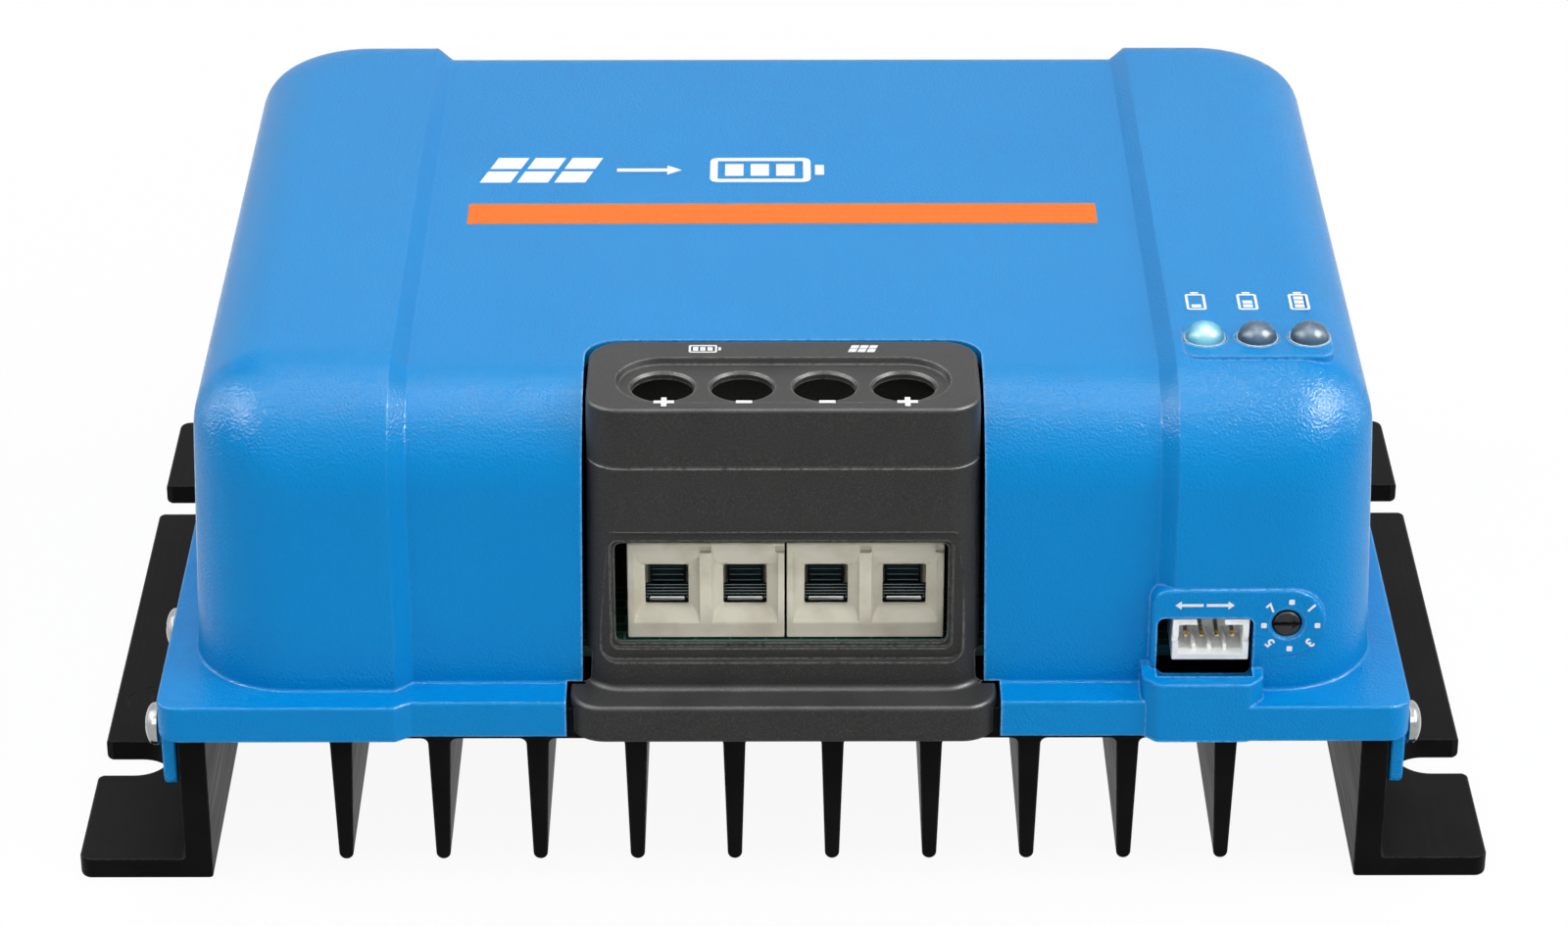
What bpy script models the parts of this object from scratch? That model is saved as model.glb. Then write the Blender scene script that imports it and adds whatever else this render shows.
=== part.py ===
"""Solar charge controller lying on its finned heat sink, terminals towards -Y, in metres.

The cover sits over the heat sink's base plate, the shroud fills a notch in the cover's front,
and the circuit board carries the terminals, the data connector and the power parts.
"""
import math

import bmesh
import bpy
from mathutils import Vector

# Clearances
GAP = 0.0003
HOLE_PLAY = 0.0003
NOTCH_PLAY = 0.0005
OVERLAP = 0.0006
SKIN = 0.0001

# Overall sizes that the rest follows
SINK_WIDTH = 0.186
COVER_LENGTH = 0.130
COVER_TOP = 0.0698

# Heat sink extrusion, running along Y
FLANGE_THICK = 0.0029
FLANGE_WIDE = 0.0141
FLANGE_CORNER = 0.0020
LEG_THICK = 0.0036
BASE_BOTTOM = 0.0214
BASE_THICK = 0.0046
FIN_COUNT = 10
FIN_PITCH = 0.0128
FIN_ROOT = 0.0029
FIN_TIP = 0.0019
FIN_FOOT = 0.0029
SLOT_WIDTH = 0.0088
SLOT_LONG = 0.0093
SLOT_INSET = 0.0253
LEG_OUTER = SINK_WIDTH / 2 - FLANGE_WIDE
BASE_TOP = BASE_BOTTOM + BASE_THICK

# Cast cover
LIP_WALL = 0.0025
LIP_SIDE = 0.0020
LIP_ROOF = 0.0014
LIP_DROP = 0.0036
LIP_CORNER = 0.0030
LIP_STEP = 0.0014
LIP_LEDGE = 0.0043
LIP_SIDE_LEDGE = 0.00365
COVER_WALL = 0.0020
COVER_DRAFT = 0.035
COVER_CORNER = 0.0120
COVER_CORNER_BACK = 0.0085
ROUND_FRONT = 0.0140
ROUND_SIDE = 0.0095
ROUND_BACK = 0.0088
ROUND_STEPS = 6
CORNER_STEPS = 5
RECESS = 0.0021
RECESS_BACK = 0.0017
RECESS_MARGIN = 0.02725
SKIRT_DROP = 0.0090
SKIRT_SETBACK = 0.00095
SKIRT_CORNER = 0.0015
SINK_LENGTH = COVER_LENGTH - 2 * (LIP_WALL + GAP)
LIP_HALF = LEG_OUTER + GAP + LIP_SIDE
LIP_BOTTOM = BASE_TOP - LIP_DROP
LIP_TOP = BASE_TOP + GAP + LIP_ROOF
COVER_HALF = LIP_HALF - LIP_SIDE_LEDGE
RECESS_OUTER = COVER_HALF - RECESS_MARGIN
RECESS_INNER = RECESS_OUTER - RECESS
SKIRT_BOTTOM = LIP_BOTTOM - SKIRT_DROP
SLOT_Y = SINK_LENGTH / 2 - SLOT_INSET
SLOT_INNER = SINK_WIDTH / 2 - SLOT_LONG

# Side screws through the skirts
SIDE_SCREW_INSET = 0.0042
EARTH_SCREW_STEP = 0.0247
SIDE_SCREW_DROP = 0.0011
SIDE_HEAD_RADIUS = 0.0028
SIDE_HEAD_HIGH = 0.0022
SIDE_SHANK_RADIUS = 0.0015
SIDE_HOLE_DEPTH = 0.0030
SIDE_SCREW_Y = SINK_LENGTH / 2 - SIDE_SCREW_INSET
EARTH_SCREW_Y = SIDE_SCREW_Y - EARTH_SCREW_STEP
SIDE_SCREW_Z = LIP_BOTTOM - SIDE_SCREW_DROP

# Circuit board on its standoffs
BOARD_RISE = 0.0058
BOARD_THICK = 0.0016
BOARD_MARGIN = 0.00755
BOARD_SETBACK = 0.0090
BOARD_BACK_SETBACK = 0.0290
BOARD_TAB_HALF = 0.0225
BOARD_TAB_SETBACK = 0.0075
STANDOFF_INSET = 0.0060
STANDOFF_FRONT_INSET = 0.0080
STANDOFF_RADIUS = 0.0033
STUD_RADIUS = 0.0013
STUD_LENGTH = 0.0030
BOARD_HEAD_RADIUS = 0.0028
BOARD_HEAD_HIGH = 0.0020
BOARD_SHANK = 0.0045
BOARD_TOP = BASE_TOP + BOARD_RISE
BOARD_HALF = COVER_HALF - BOARD_MARGIN
BOARD_FRONT = COVER_LENGTH / 2 - BOARD_SETBACK
BOARD_TAB_FRONT = COVER_LENGTH / 2 - BOARD_TAB_SETBACK
BOARD_BACK = COVER_LENGTH / 2 - BOARD_BACK_SETBACK
STANDOFF_X = BOARD_HALF - STANDOFF_INSET
STANDOFF_FRONT_Y = STANDOFF_FRONT_INSET - BOARD_FRONT
STANDOFF_BACK_Y = BOARD_BACK - STANDOFF_INSET

# Rotary selector, data connector and its pins
SELECTOR_INSET = 0.01265
SELECTOR_RISE = 0.0057
SELECTOR_HALF = 0.0039
SELECTOR_CROWN = 0.0043
SELECTOR_DEPTH = 0.0045
ROTOR_RADIUS = 0.00175
ROTOR_SEAT = 0.0020
ROTOR_SLOT = 0.0006
ROTOR_SLOT_DEEP = 0.0008
HEADER_GAP = 0.0046
HEADER_WIDE = 0.0104
HEADER_DEPTH = 0.0076
HEADER_HIGH = 0.0060
HEADER_WALL = 0.0009
HEADER_FLOOR = 0.0020
PIN_PITCH = 0.0020
PIN_COUNT = 4
PIN_SIZE = 0.0005
PIN_REACH = 0.0042
PIN_RISE = 0.0031

# Pad, ledge and pocket on the cover around the connector and the selector
PAD_SIDE = 0.0008
PAD_RADIUS = 0.0050
PAD_SETBACK = 0.00435
PAD_DEPTH = 0.0030
LEDGE_SIDE = 0.0014
LEDGE_RISE = 0.0033
LEDGE_CHAMFER = 0.0019
LEDGE_DEEP = 0.0065
POCKET_SIDE = 0.0017
POCKET_RISE = 0.0013
POCKET_SETBACK = 0.0015
SELECTOR_X = COVER_HALF - SELECTOR_INSET
SELECTOR_Z = BOARD_TOP + SELECTOR_RISE
SELECTOR_TOP = SELECTOR_Z + SELECTOR_CROWN
PAD_FRONT = COVER_LENGTH / 2 - PAD_SETBACK
SELECTOR_FRONT = PAD_FRONT - PAD_DEPTH - NOTCH_PLAY
ROTOR_FRONT = PAD_FRONT - SKIN
HEADER_RIGHT = SELECTOR_X - HEADER_GAP
HEADER_LEFT = HEADER_RIGHT - HEADER_WIDE
HEADER_FRONT = PAD_FRONT - GAP
PIN_Z = BOARD_TOP + PIN_RISE
POCKET_LEFT = HEADER_LEFT - POCKET_SIDE
POCKET_RIGHT = HEADER_RIGHT + GAP
POCKET_BOTTOM = LIP_TOP + POCKET_RISE
POCKET_TOP = BOARD_TOP + HEADER_HIGH + 2 * GAP
POCKET_FRONT = COVER_LENGTH / 2 - POCKET_SETBACK
LEDGE_LEFT = POCKET_LEFT - LEDGE_CHAMFER
LEDGE_RIGHT = POCKET_RIGHT + LEDGE_SIDE
LEDGE_TOP = LIP_TOP + LEDGE_RISE
LEDGE_BACK = COVER_LENGTH / 2 - LEDGE_DEEP
PAD_LEFT = POCKET_LEFT - PAD_SIDE

# Status lamps on the raised right side
LAMP_INSET = 0.01645
LAMP_SETBACK = 0.0220
LAMP_PITCH = 0.00676
LAMP_RADIUS = 0.00255
LAMP_DOME = 0.0022
LAMP_FLANGE = 0.0033
LAMP_FLANGE_HIGH = 0.0010
LAMP_ROD = 0.0020
LAMP_PROUD = 0.0002
LAMP_PAD_DEEP = 0.0067
LAMP_PAD_HALF = 0.0096
LAMP_PAD_FRONT = 0.0053
LAMP_PAD_BACK = 0.0050
LAMP_PAD_CORNER = 0.0022
LED_SIZE = 0.0030
LED_HIGH = 0.0012
LAMP_X = COVER_HALF - LAMP_INSET
LAMP_Y = LAMP_SETBACK - COVER_LENGTH / 2
LAMP_PAD_TOP = COVER_TOP + LAMP_PROUD

# Terminal shroud
SHROUD_HALF = 0.0256
SHROUD_SETBACK = 0.0047
SHROUD_DEEP = 0.02095
SHROUD_WALL = 0.0020
SHROUD_CORNER = 0.0045
SHROUD_TAPER = 0.0005
SHROUD_LEAN = 0.0015
SHROUD_LIP_SIDE = 0.00205
SHROUD_LIP_CORNER = 0.0045
WINDOW_HALF = 0.0213
WINDOW_RISE = 0.0019
WINDOW_HIGH = 0.0148
WINDOW_FRAME = 0.0020
WINDOW_FRAME_DEPTH = 0.0004
DRIVER_RADIUS = 0.0040
DRIVER_SHIFT = 0.0006
DRIVER_RECESS_HALF = 0.0213
DRIVER_RECESS_DEEP = 0.0006
DRIVER_RECESS_RADIUS = 0.0062
SHROUD_FRONT = COVER_LENGTH / 2 - SHROUD_SETBACK
SHROUD_BACK = SHROUD_FRONT - SHROUD_DEEP
SHROUD_TOP = COVER_TOP - RECESS + SKIN
SHROUD_LIP_HALF = SHROUD_HALF + SHROUD_LIP_SIDE
WINDOW_BOTTOM = BOARD_TOP + WINDOW_RISE
WINDOW_TOP = WINDOW_BOTTOM + WINDOW_HIGH

# Terminal blocks with rising cage clamps
POLE_PITCH = 0.01016
BLOCK_SHIFT = 0.0003
BLOCK_SPLIT = 0.0003
BLOCK_WIDTH = 0.0204
BLOCK_SETBACK = 0.0058
BLOCK_DEEP = 0.0110
BLOCK_HIGH = 0.0252
BLOCK_BROW = 0.0006
BLOCK_BROW_RISE = 0.0146
MOUTH_WIDTH = 0.00565
MOUTH_RISE = 0.0045
MOUTH_HIGH = 0.0055
MOUTH_DEPTH = 0.0016
FUNNEL_WIDTH = 0.0086
FUNNEL_DROP = 0.0023
FUNNEL_RISE = 0.0034
CLAMP_SETBACK = 0.0047
CHAMBER_WIDTH = 0.0084
CHAMBER_DEPTH = 0.0056
CHAMBER_DROP = 0.0025
CHAMBER_ROOF = 0.0041
CAGE_WIDTH = 0.0076
CAGE_DEPTH = 0.0050
CAGE_WALL = 0.0007
CAGE_JAW = 0.0014
CAGE_ROOF = 0.0016
CAGE_INSIDE = 0.0100
CLAMP_HEAD_RADIUS = 0.0030
CLAMP_HEAD_HIGH = 0.0026
CLAMP_NECK = 0.0011
CLAMP_SHANK_RADIUS = 0.0019
DRIVE_SLOT_WIDTH = 0.0010
DRIVE_SLOT_DEEP = 0.0012
BAR_WIDTH = 0.0046
BAR_THICK = 0.0012
BAR_RISE = 0.0006
BAR_REACH = 0.0042
BLOCK_FRONT = SHROUD_FRONT - BLOCK_SETBACK
BLOCK_BACK = BLOCK_FRONT - BLOCK_DEEP
BLOCK_TOP = BOARD_TOP + BLOCK_HIGH
BLOCK_BROW_Z = BOARD_TOP + BLOCK_BROW_RISE
MOUTH_BOTTOM = BOARD_TOP + MOUTH_RISE
MOUTH_TOP = MOUTH_BOTTOM + MOUTH_HIGH
FUNNEL_BOTTOM = MOUTH_BOTTOM - FUNNEL_DROP
FUNNEL_TOP = MOUTH_TOP + FUNNEL_RISE
CLAMP_Y = CLAMP_SETBACK - BLOCK_FRONT
DRIVER_Y = CLAMP_Y - DRIVER_SHIFT
CHAMBER_BOTTOM = MOUTH_BOTTOM - CHAMBER_DROP
CHAMBER_TOP = BLOCK_TOP - CHAMBER_ROOF
CLAMP_HEAD_Z = CHAMBER_TOP + CLAMP_NECK
BAR_Z = MOUTH_TOP + BAR_RISE
BAR_BACK = -CLAMP_Y - BAR_REACH

# Power parts
CORE_X = -0.0050
CORE_WIDTH = 0.0420
CORE_DEPTH = 0.0200
CORE_HEADROOM = 0.0036
CORE_LIMB = 0.0060
CORE_LEG = 0.0120
WINDING_THICK = 0.0080
WINDING_PLAY = 0.0005
CAPACITOR_RADIUS = 0.0080
CAPACITOR_HEADROOM = 0.0076
CAPACITOR_INSET = 0.0035
CAPACITOR_GAP = 0.0030
CAPACITOR_PITCH = 0.0420
PAD_THICK = 0.0003
TRANSISTOR_COUNT = 4
TRANSISTOR_GAP = 0.0045
TRANSISTOR_PITCH = 0.0160
TRANSISTOR_WIDTH = 0.0102
TRANSISTOR_THICK = 0.0045
TRANSISTOR_LONG = 0.0150
LEAD_PITCH = 0.00254
LEAD_SIZE = 0.0008
LEAD_TUCK = 0.0023
CLAMP_BAR_MARGIN = 0.0060
CLAMP_BAR_INSET = 0.0085
CLAMP_BAR_WIDE = 0.0070
CLAMP_BAR_THICK = 0.0020
CLAMP_BAR_HEAD_RADIUS = 0.0028
CLAMP_BAR_HEAD_HIGH = 0.0022
CLAMP_BAR_SHANK_RADIUS = 0.0015
CLAMP_BAR_REACH = 0.0025
CEILING = COVER_TOP - RECESS - COVER_WALL
CORE_HIGH = CEILING - CORE_HEADROOM - BOARD_TOP - GAP
CAPACITOR_HIGH = CEILING - CAPACITOR_HEADROOM - BOARD_TOP - GAP
CAPACITOR_Y = BOARD_BACK - CAPACITOR_INSET - CAPACITOR_RADIUS
WINDING_BACK = CAPACITOR_Y - CAPACITOR_RADIUS - CAPACITOR_GAP
CORE_Y = WINDING_BACK - WINDING_THICK - WINDING_PLAY - CORE_DEPTH / 2
TRANSISTOR_FRONT = BOARD_BACK + TRANSISTOR_GAP
CLAMP_BAR_HALF = TRANSISTOR_PITCH * (TRANSISTOR_COUNT - 1) / 2 + CLAMP_BAR_MARGIN
CLAMP_BAR_SCREW_X = TRANSISTOR_PITCH
CLAMP_BAR_Y = TRANSISTOR_FRONT + CLAMP_BAR_INSET

# Facets on round pieces
FINE = 20
COARSE = 12


def clear_scene():
    for obj in list(bpy.data.objects):
        bpy.data.objects.remove(obj)


def make_material(name, colour, roughness, metallic=0.0):
    material = bpy.data.materials.new(name)
    material.use_nodes = True
    shader = material.node_tree.nodes["Principled BSDF"]
    shader.inputs["Base Color"].default_value = (*colour, 1.0)
    shader.inputs["Roughness"].default_value = roughness
    shader.inputs["Metallic"].default_value = metallic
    return material


def make_materials():
    return {
        "anodised": make_material("black_anodised", (0.010, 0.010, 0.011), 0.45, 0.6),
        "blue": make_material("blue_powder_coat", (0.005, 0.220, 0.620), 0.38),
        "grey": make_material("dark_grey_plastic", (0.050, 0.050, 0.052), 0.55),
        "zinc": make_material("zinc_steel", (0.72, 0.72, 0.70), 0.28, 1.0),
        "brass": make_material("nickel_brass", (0.66, 0.58, 0.42), 0.30, 1.0),
        "gold": make_material("gold_plate", (0.83, 0.62, 0.28), 0.25, 1.0),
        "board": make_material("green_board", (0.012, 0.070, 0.040), 0.40),
        "beige": make_material("beige_nylon", (0.58, 0.55, 0.45), 0.50),
        "white": make_material("white_nylon", (0.80, 0.79, 0.75), 0.45),
        "black": make_material("black_plastic", (0.020, 0.020, 0.022), 0.40),
        "ferrite": make_material("ferrite", (0.060, 0.058, 0.056), 0.60),
        "copper": make_material("enamelled_copper", (0.55, 0.22, 0.08), 0.35, 0.8),
        "sleeve": make_material("capacitor_sleeve", (0.020, 0.030, 0.060), 0.35),
        "silicone": make_material("silicone_sheet", (0.45, 0.47, 0.50), 0.70),
        "lens": make_material("diffused_lens", (0.10, 0.16, 0.20), 0.25),
        "led": make_material("led_chip", (0.85, 0.83, 0.60), 0.40),
    }


def rectangle(left, right, low, high):
    return [(left, low), (right, low), (right, high), (left, high)]


def arc(cx, cy, radius, start, stop, steps):
    points = []
    for i in range(steps + 1):
        angle = math.radians(start + (stop - start) * i / steps)
        points.append((cx + radius * math.cos(angle), cy + radius * math.sin(angle)))
    return points


def circle(cx, cy, radius, steps):
    return arc(cx, cy, radius, 0, 360 * (steps - 1) / steps, steps - 1)


def rounded(left, right, low, high, radius, steps=4):
    points = arc(left + radius, low + radius, radius, 180, 270, steps)
    points += arc(right - radius, low + radius, radius, 270, 360, steps)
    points += arc(right - radius, high - radius, radius, 0, 90, steps)
    points += arc(left + radius, high - radius, radius, 90, 180, steps)
    return points


def place(u, v, w, axis):
    if axis == "X":
        return (w, u, v)
    if axis == "Y":
        return (u, w, v)
    return (u, v, w)


def skin(bm, rings):
    """Join equal rings of vertices, one after the other, with quads."""
    for near, far in zip(rings, rings[1:]):
        count = len(near)
        for i in range(count):
            j = (i + 1) % count
            bm.faces.new((near[i], near[j], far[j], far[i]))


def add_prism(bm, outline, low, high, axis="Z"):
    near = [bm.verts.new(place(u, v, low, axis)) for u, v in outline]
    far = [bm.verts.new(place(u, v, high, axis)) for u, v in outline]
    bm.faces.new(near[::-1])
    bm.faces.new(far)
    skin(bm, [near, far])


def prism(outline, low, high, axis="Z"):
    bm = bmesh.new()
    add_prism(bm, outline, low, high, axis)
    return bm


def add_stack(bm, levels, axis="Z"):
    """Loft through (outline, height) levels of equal point count and cap both ends."""
    rings = []
    for outline, height in levels:
        rings.append([bm.verts.new(place(u, v, height, axis)) for u, v in outline])
    bm.faces.new(rings[0][::-1])
    bm.faces.new(rings[-1])
    skin(bm, rings)


def stack(levels, axis="Z"):
    bm = bmesh.new()
    add_stack(bm, levels, axis)
    return bm


def turned_levels(cx, cy, profile, steps):
    """Levels of a turned piece: (radius, height) pairs along its axis."""
    return [(circle(cx, cy, radius, steps), height) for radius, height in profile]


def add_object(name, bm, material, origin=(0.0, 0.0, 0.0)):
    """Make a named object of a bmesh in world places, with its origin moved to a point."""
    bmesh.ops.recalc_face_normals(bm, faces=bm.faces)
    bmesh.ops.translate(bm, verts=bm.verts, vec=-Vector(origin))
    mesh = bpy.data.meshes.new(name)
    bm.to_mesh(mesh)
    bm.free()
    if material:
        mesh.materials.append(material)
    obj = bpy.data.objects.new(name, mesh)
    obj.location = origin
    bpy.context.collection.objects.link(obj)
    return obj


def combine(obj, bm, operation):
    """Cut a bmesh out of an object, or join it on, and keep the plain result."""
    tool = add_object("tool", bm, None)
    tool.location = (0.0, 0.0, 0.0)
    modifier = obj.modifiers.new("combine", "BOOLEAN")
    modifier.operation = operation
    modifier.solver = "EXACT"
    modifier.object = tool
    bpy.context.view_layer.update()
    graph = bpy.context.evaluated_depsgraph_get()
    mesh = bpy.data.meshes.new_from_object(obj.evaluated_get(graph), depsgraph=graph)
    mesh.name = obj.name
    obj.modifiers.clear()
    obj.data = mesh
    bpy.data.objects.remove(tool)


def cut(obj, bm):
    combine(obj, bm, "DIFFERENCE")


def join(obj, bm):
    combine(obj, bm, "UNION")


def finish(root):
    """Shade the round pieces smooth and hang every piece on one empty."""
    for obj in bpy.data.objects:
        if obj.type == "MESH":
            obj.data.shade_smooth()
            obj.data.set_sharp_from_angle(angle=math.radians(32))
            obj.parent = root


def side_screw_places():
    """Name, side and Y of the cover's screws, one near each corner, and of the earth screw on the left."""
    corners = [(side, y) for side in (-1, 1) for y in (-SIDE_SCREW_Y, SIDE_SCREW_Y)]
    for number, (side, y) in enumerate(corners, 1):
        yield "side_screw_%d" % number, side, y
    yield "earth_screw", -1, -EARTH_SCREW_Y


def standoff_places():
    for y in (STANDOFF_FRONT_Y, STANDOFF_BACK_Y):
        for x in (-STANDOFF_X, STANDOFF_X):
            yield x, y


def pole_places():
    """Middle of each terminal pole along X, left to right."""
    block_step = (BLOCK_WIDTH + BLOCK_SPLIT) / 2
    for block in (-1, 1):
        for pole in (-1, 1):
            yield BLOCK_SHIFT + block * block_step + pole * POLE_PITCH / 2


def lamp_places():
    return [LAMP_X + i * LAMP_PITCH for i in (-1, 0, 1)]


def sink_outline():
    """Section of the extrusion in X and Z: flanges, legs, base plate and tapered fins."""
    half = SINK_WIDTH / 2
    leg_inner = LEG_OUTER - LEG_THICK
    points = [(half, 0.0), (half, FLANGE_THICK), (LEG_OUTER, FLANGE_THICK), (LEG_OUTER, BASE_TOP)]
    points += [(-LEG_OUTER, BASE_TOP), (-LEG_OUTER, FLANGE_THICK), (-half, FLANGE_THICK), (-half, 0.0)]
    points += [(-leg_inner, 0.0), (-leg_inner, BASE_BOTTOM)]
    for i in range(FIN_COUNT):
        x = (i - (FIN_COUNT - 1) / 2) * FIN_PITCH
        points += [(x - FIN_ROOT / 2, BASE_BOTTOM), (x - FIN_TIP / 2, FIN_FOOT + FIN_TIP / 2)]
        points += [(x - FIN_TIP / 4, FIN_FOOT), (x + FIN_TIP / 4, FIN_FOOT)]
        points += [(x + FIN_TIP / 2, FIN_FOOT + FIN_TIP / 2), (x + FIN_ROOT / 2, BASE_BOTTOM)]
    points += [(leg_inner, BASE_BOTTOM), (leg_inner, 0.0)]
    return points


def slot_outline(side, y):
    """Open mounting slot, from beyond the flange's edge to its round inner end."""
    radius = SLOT_WIDTH / 2
    centre = SLOT_INNER + radius
    points = arc(centre, y, radius, 90, 270, 8)
    points += [(SINK_WIDTH / 2 + radius, y - radius), (SINK_WIDTH / 2 + radius, y + radius)]
    return [(side * u, v) for u, v in points]


def corner_outline(side, end):
    """What is cut off a square flange corner to leave it round."""
    half_x = SINK_WIDTH / 2
    half_y = SINK_LENGTH / 2
    radius = FLANGE_CORNER
    points = arc(half_x - radius, half_y - radius, radius, 0, 90, 4)
    points += [(half_x - radius, half_y + radius), (half_x + radius, half_y + radius)]
    points += [(half_x + radius, half_y - radius)]
    return [(side * u, end * v) for u, v in points]


def make_heat_sink(mats):
    bm = prism(sink_outline(), -SINK_LENGTH / 2, SINK_LENGTH / 2, "Y")
    sink = add_object("heat_sink", bm, mats["anodised"])
    holes = bmesh.new()
    for side in (-1, 1):
        for end in (-1, 1):
            add_prism(holes, slot_outline(side, end * SLOT_Y), -FLANGE_THICK, 2 * FLANGE_THICK)
            add_prism(holes, corner_outline(side, end), -FLANGE_THICK, 2 * FLANGE_THICK)
    for _, side, y in side_screw_places():
        ring = circle(y, SIDE_SCREW_Z, SIDE_SHANK_RADIUS + HOLE_PLAY, COARSE)
        add_prism(holes, ring, side * (LEG_OUTER - SIDE_HOLE_DEPTH), side * (LEG_OUTER + GAP), "X")
    for x, y in standoff_places():
        ring = circle(x, y, STUD_RADIUS + HOLE_PLAY, COARSE)
        add_prism(holes, ring, BASE_TOP - STUD_LENGTH - GAP, BASE_TOP + GAP)
    for x in (-CLAMP_BAR_SCREW_X, CLAMP_BAR_SCREW_X):
        ring = circle(x, CLAMP_BAR_Y, CLAMP_BAR_SHANK_RADIUS + HOLE_PLAY, COARSE)
        add_prism(holes, ring, BASE_TOP - CLAMP_BAR_REACH - GAP, BASE_TOP + GAP)
    cut(sink, holes)


def round_inset(z, radius, top):
    """How far a rounded top edge has drawn in at a height, and the sine of its slope angle."""
    rise = min(max(z - (top - radius), 0.0), radius)
    return radius - math.sqrt(radius * radius - rise * rise), rise / radius


def ring_points(half, front, back, radii, z, front_step, back_step, shoulder):
    """One ring of the cover: four corner arcs and a stepped middle at the front and the back.

    Radii are those of the front and back corners, a step is (inward, down), and a shoulder is
    the step's outer and inner half width.
    """
    outer, inner = shoulder
    radius, back_radius = radii
    flat = arc(-half + radius, front + radius, radius, 180, 270, CORNER_STEPS)
    points = [(x, y, z) for x, y in flat]
    points.append((-outer, front, z))
    points.append((-inner, front + front_step[0], z - front_step[1]))
    points.append((inner, front + front_step[0], z - front_step[1]))
    points.append((outer, front, z))
    flat = arc(half - radius, front + radius, radius, 270, 360, CORNER_STEPS)
    flat += arc(half - back_radius, back - back_radius, back_radius, 0, 90, CORNER_STEPS)
    points += [(x, y, z) for x, y in flat]
    points.append((outer, back, z))
    points.append((inner, back - back_step[0], z - back_step[1]))
    points.append((-inner, back - back_step[0], z - back_step[1]))
    points.append((-outer, back, z))
    flat = arc(-half + back_radius, back - back_radius, back_radius, 90, 180, CORNER_STEPS)
    points += [(x, y, z) for x, y in flat]
    return points


def body_ring(z, wall):
    """Ring of the cover's body at a height, drawn in by a wall thickness."""
    top = COVER_TOP - wall
    front_in, front_sine = round_inset(z, ROUND_FRONT - wall, top)
    back_in, back_sine = round_inset(z, ROUND_BACK - wall, top)
    side_in, side_sine = round_inset(z, ROUND_SIDE - wall, top)
    lean = COVER_DRAFT * (z - LIP_TOP) + wall
    depth = COVER_LENGTH / 2 - LIP_LEDGE - lean
    half = COVER_HALF - lean - side_in
    drawn_in = max(front_in / (ROUND_FRONT - wall), side_in / (ROUND_SIDE - wall))
    radii = [(corner - wall) * (1.0 - drawn_in) + GAP for corner in (COVER_CORNER, COVER_CORNER_BACK)]
    front_step = (RECESS * math.sqrt(1 - front_sine ** 2), RECESS * front_sine)
    back_step = (RECESS_BACK * math.sqrt(1 - back_sine ** 2), RECESS_BACK * back_sine)
    shift = wall * math.tan(math.radians(22.5))
    shoulder = (RECESS_OUTER - shift, RECESS_INNER - shift)
    front = front_in - depth
    back = depth - back_in
    return ring_points(half, front, back, radii, z, front_step, back_step, shoulder)


def body_heights(base, wall):
    """Heights of the rings from the body's foot to its flat top."""
    top = COVER_TOP - wall
    radius = ROUND_FRONT - wall
    heights = [base]
    for i in range(ROUND_STEPS + 1):
        heights.append(top - radius + radius * math.sin(math.radians(90 * i / ROUND_STEPS)))
    return heights


def lip_ring(z, half, depth, radius, step):
    shoulder = (RECESS_OUTER, RECESS_INNER)
    return ring_points(half, -depth, depth, (radius, radius), z, (step, 0.0), (step, 0.0), shoulder)


def cap_strips(bm, ring):
    """Close a ring whose front half mirrors its back half with strips along Y."""
    count = len(ring)
    for i in range(count // 2 - 1):
        bm.faces.new((ring[i], ring[i + 1], ring[count - 2 - i], ring[count - 1 - i]))


def cover_shell():
    """The cover's thin wall: down outside, round the lip, and up inside."""
    under = BASE_TOP + GAP
    lip_inner = LEG_OUTER + GAP
    lip_depth = SINK_LENGTH / 2 + GAP
    rings = [body_ring(z, 0.0) for z in reversed(body_heights(LIP_TOP, 0.0))]
    rings.append(lip_ring(LIP_TOP, LIP_HALF, COVER_LENGTH / 2, LIP_CORNER, LIP_STEP))
    rings.append(lip_ring(LIP_BOTTOM, LIP_HALF, COVER_LENGTH / 2, LIP_CORNER, LIP_STEP))
    rings.append(lip_ring(LIP_BOTTOM, lip_inner, lip_depth, GAP, 0.0))
    rings.append(lip_ring(under, lip_inner, lip_depth, GAP, 0.0))
    rings += [body_ring(z, COVER_WALL) for z in body_heights(under, COVER_WALL)]
    bm = bmesh.new()
    rows = [[bm.verts.new(co) for co in ring] for ring in rings]
    skin(bm, rows)
    cap_strips(bm, rows[0])
    cap_strips(bm, rows[-1])
    return bm


def add_skirt(bm, side):
    half = SINK_LENGTH / 2 - SKIRT_SETBACK
    top = LIP_BOTTOM + OVERLAP
    outline = [(half, top), (-half, top)]
    outline += arc(-half + SKIRT_CORNER, SKIRT_BOTTOM + SKIRT_CORNER, SKIRT_CORNER, 180, 270, 4)
    outline += arc(half - SKIRT_CORNER, SKIRT_BOTTOM + SKIRT_CORNER, SKIRT_CORNER, 270, 360, 4)
    add_prism(bm, outline, side * (LEG_OUTER + GAP + SKIN), side * (LIP_HALF - SKIN), "X")


def ledge_outline(back):
    front = COVER_LENGTH / 2 - SKIN
    shoulder = front - LEDGE_CHAMFER
    points = [(LEDGE_LEFT, -back), (LEDGE_LEFT, -shoulder), (LEDGE_LEFT + LEDGE_CHAMFER, -front)]
    points += [(LEDGE_RIGHT - LEDGE_CHAMFER, -front), (LEDGE_RIGHT, -shoulder), (LEDGE_RIGHT, -back)]
    return points


def pad_outline():
    low = SELECTOR_Z - PAD_RADIUS
    high = SELECTOR_Z + PAD_RADIUS
    points = [(PAD_LEFT, high), (PAD_LEFT, low)]
    points += arc(SELECTOR_X, SELECTOR_Z, PAD_RADIUS, 270, 450, 10)
    return points


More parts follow.
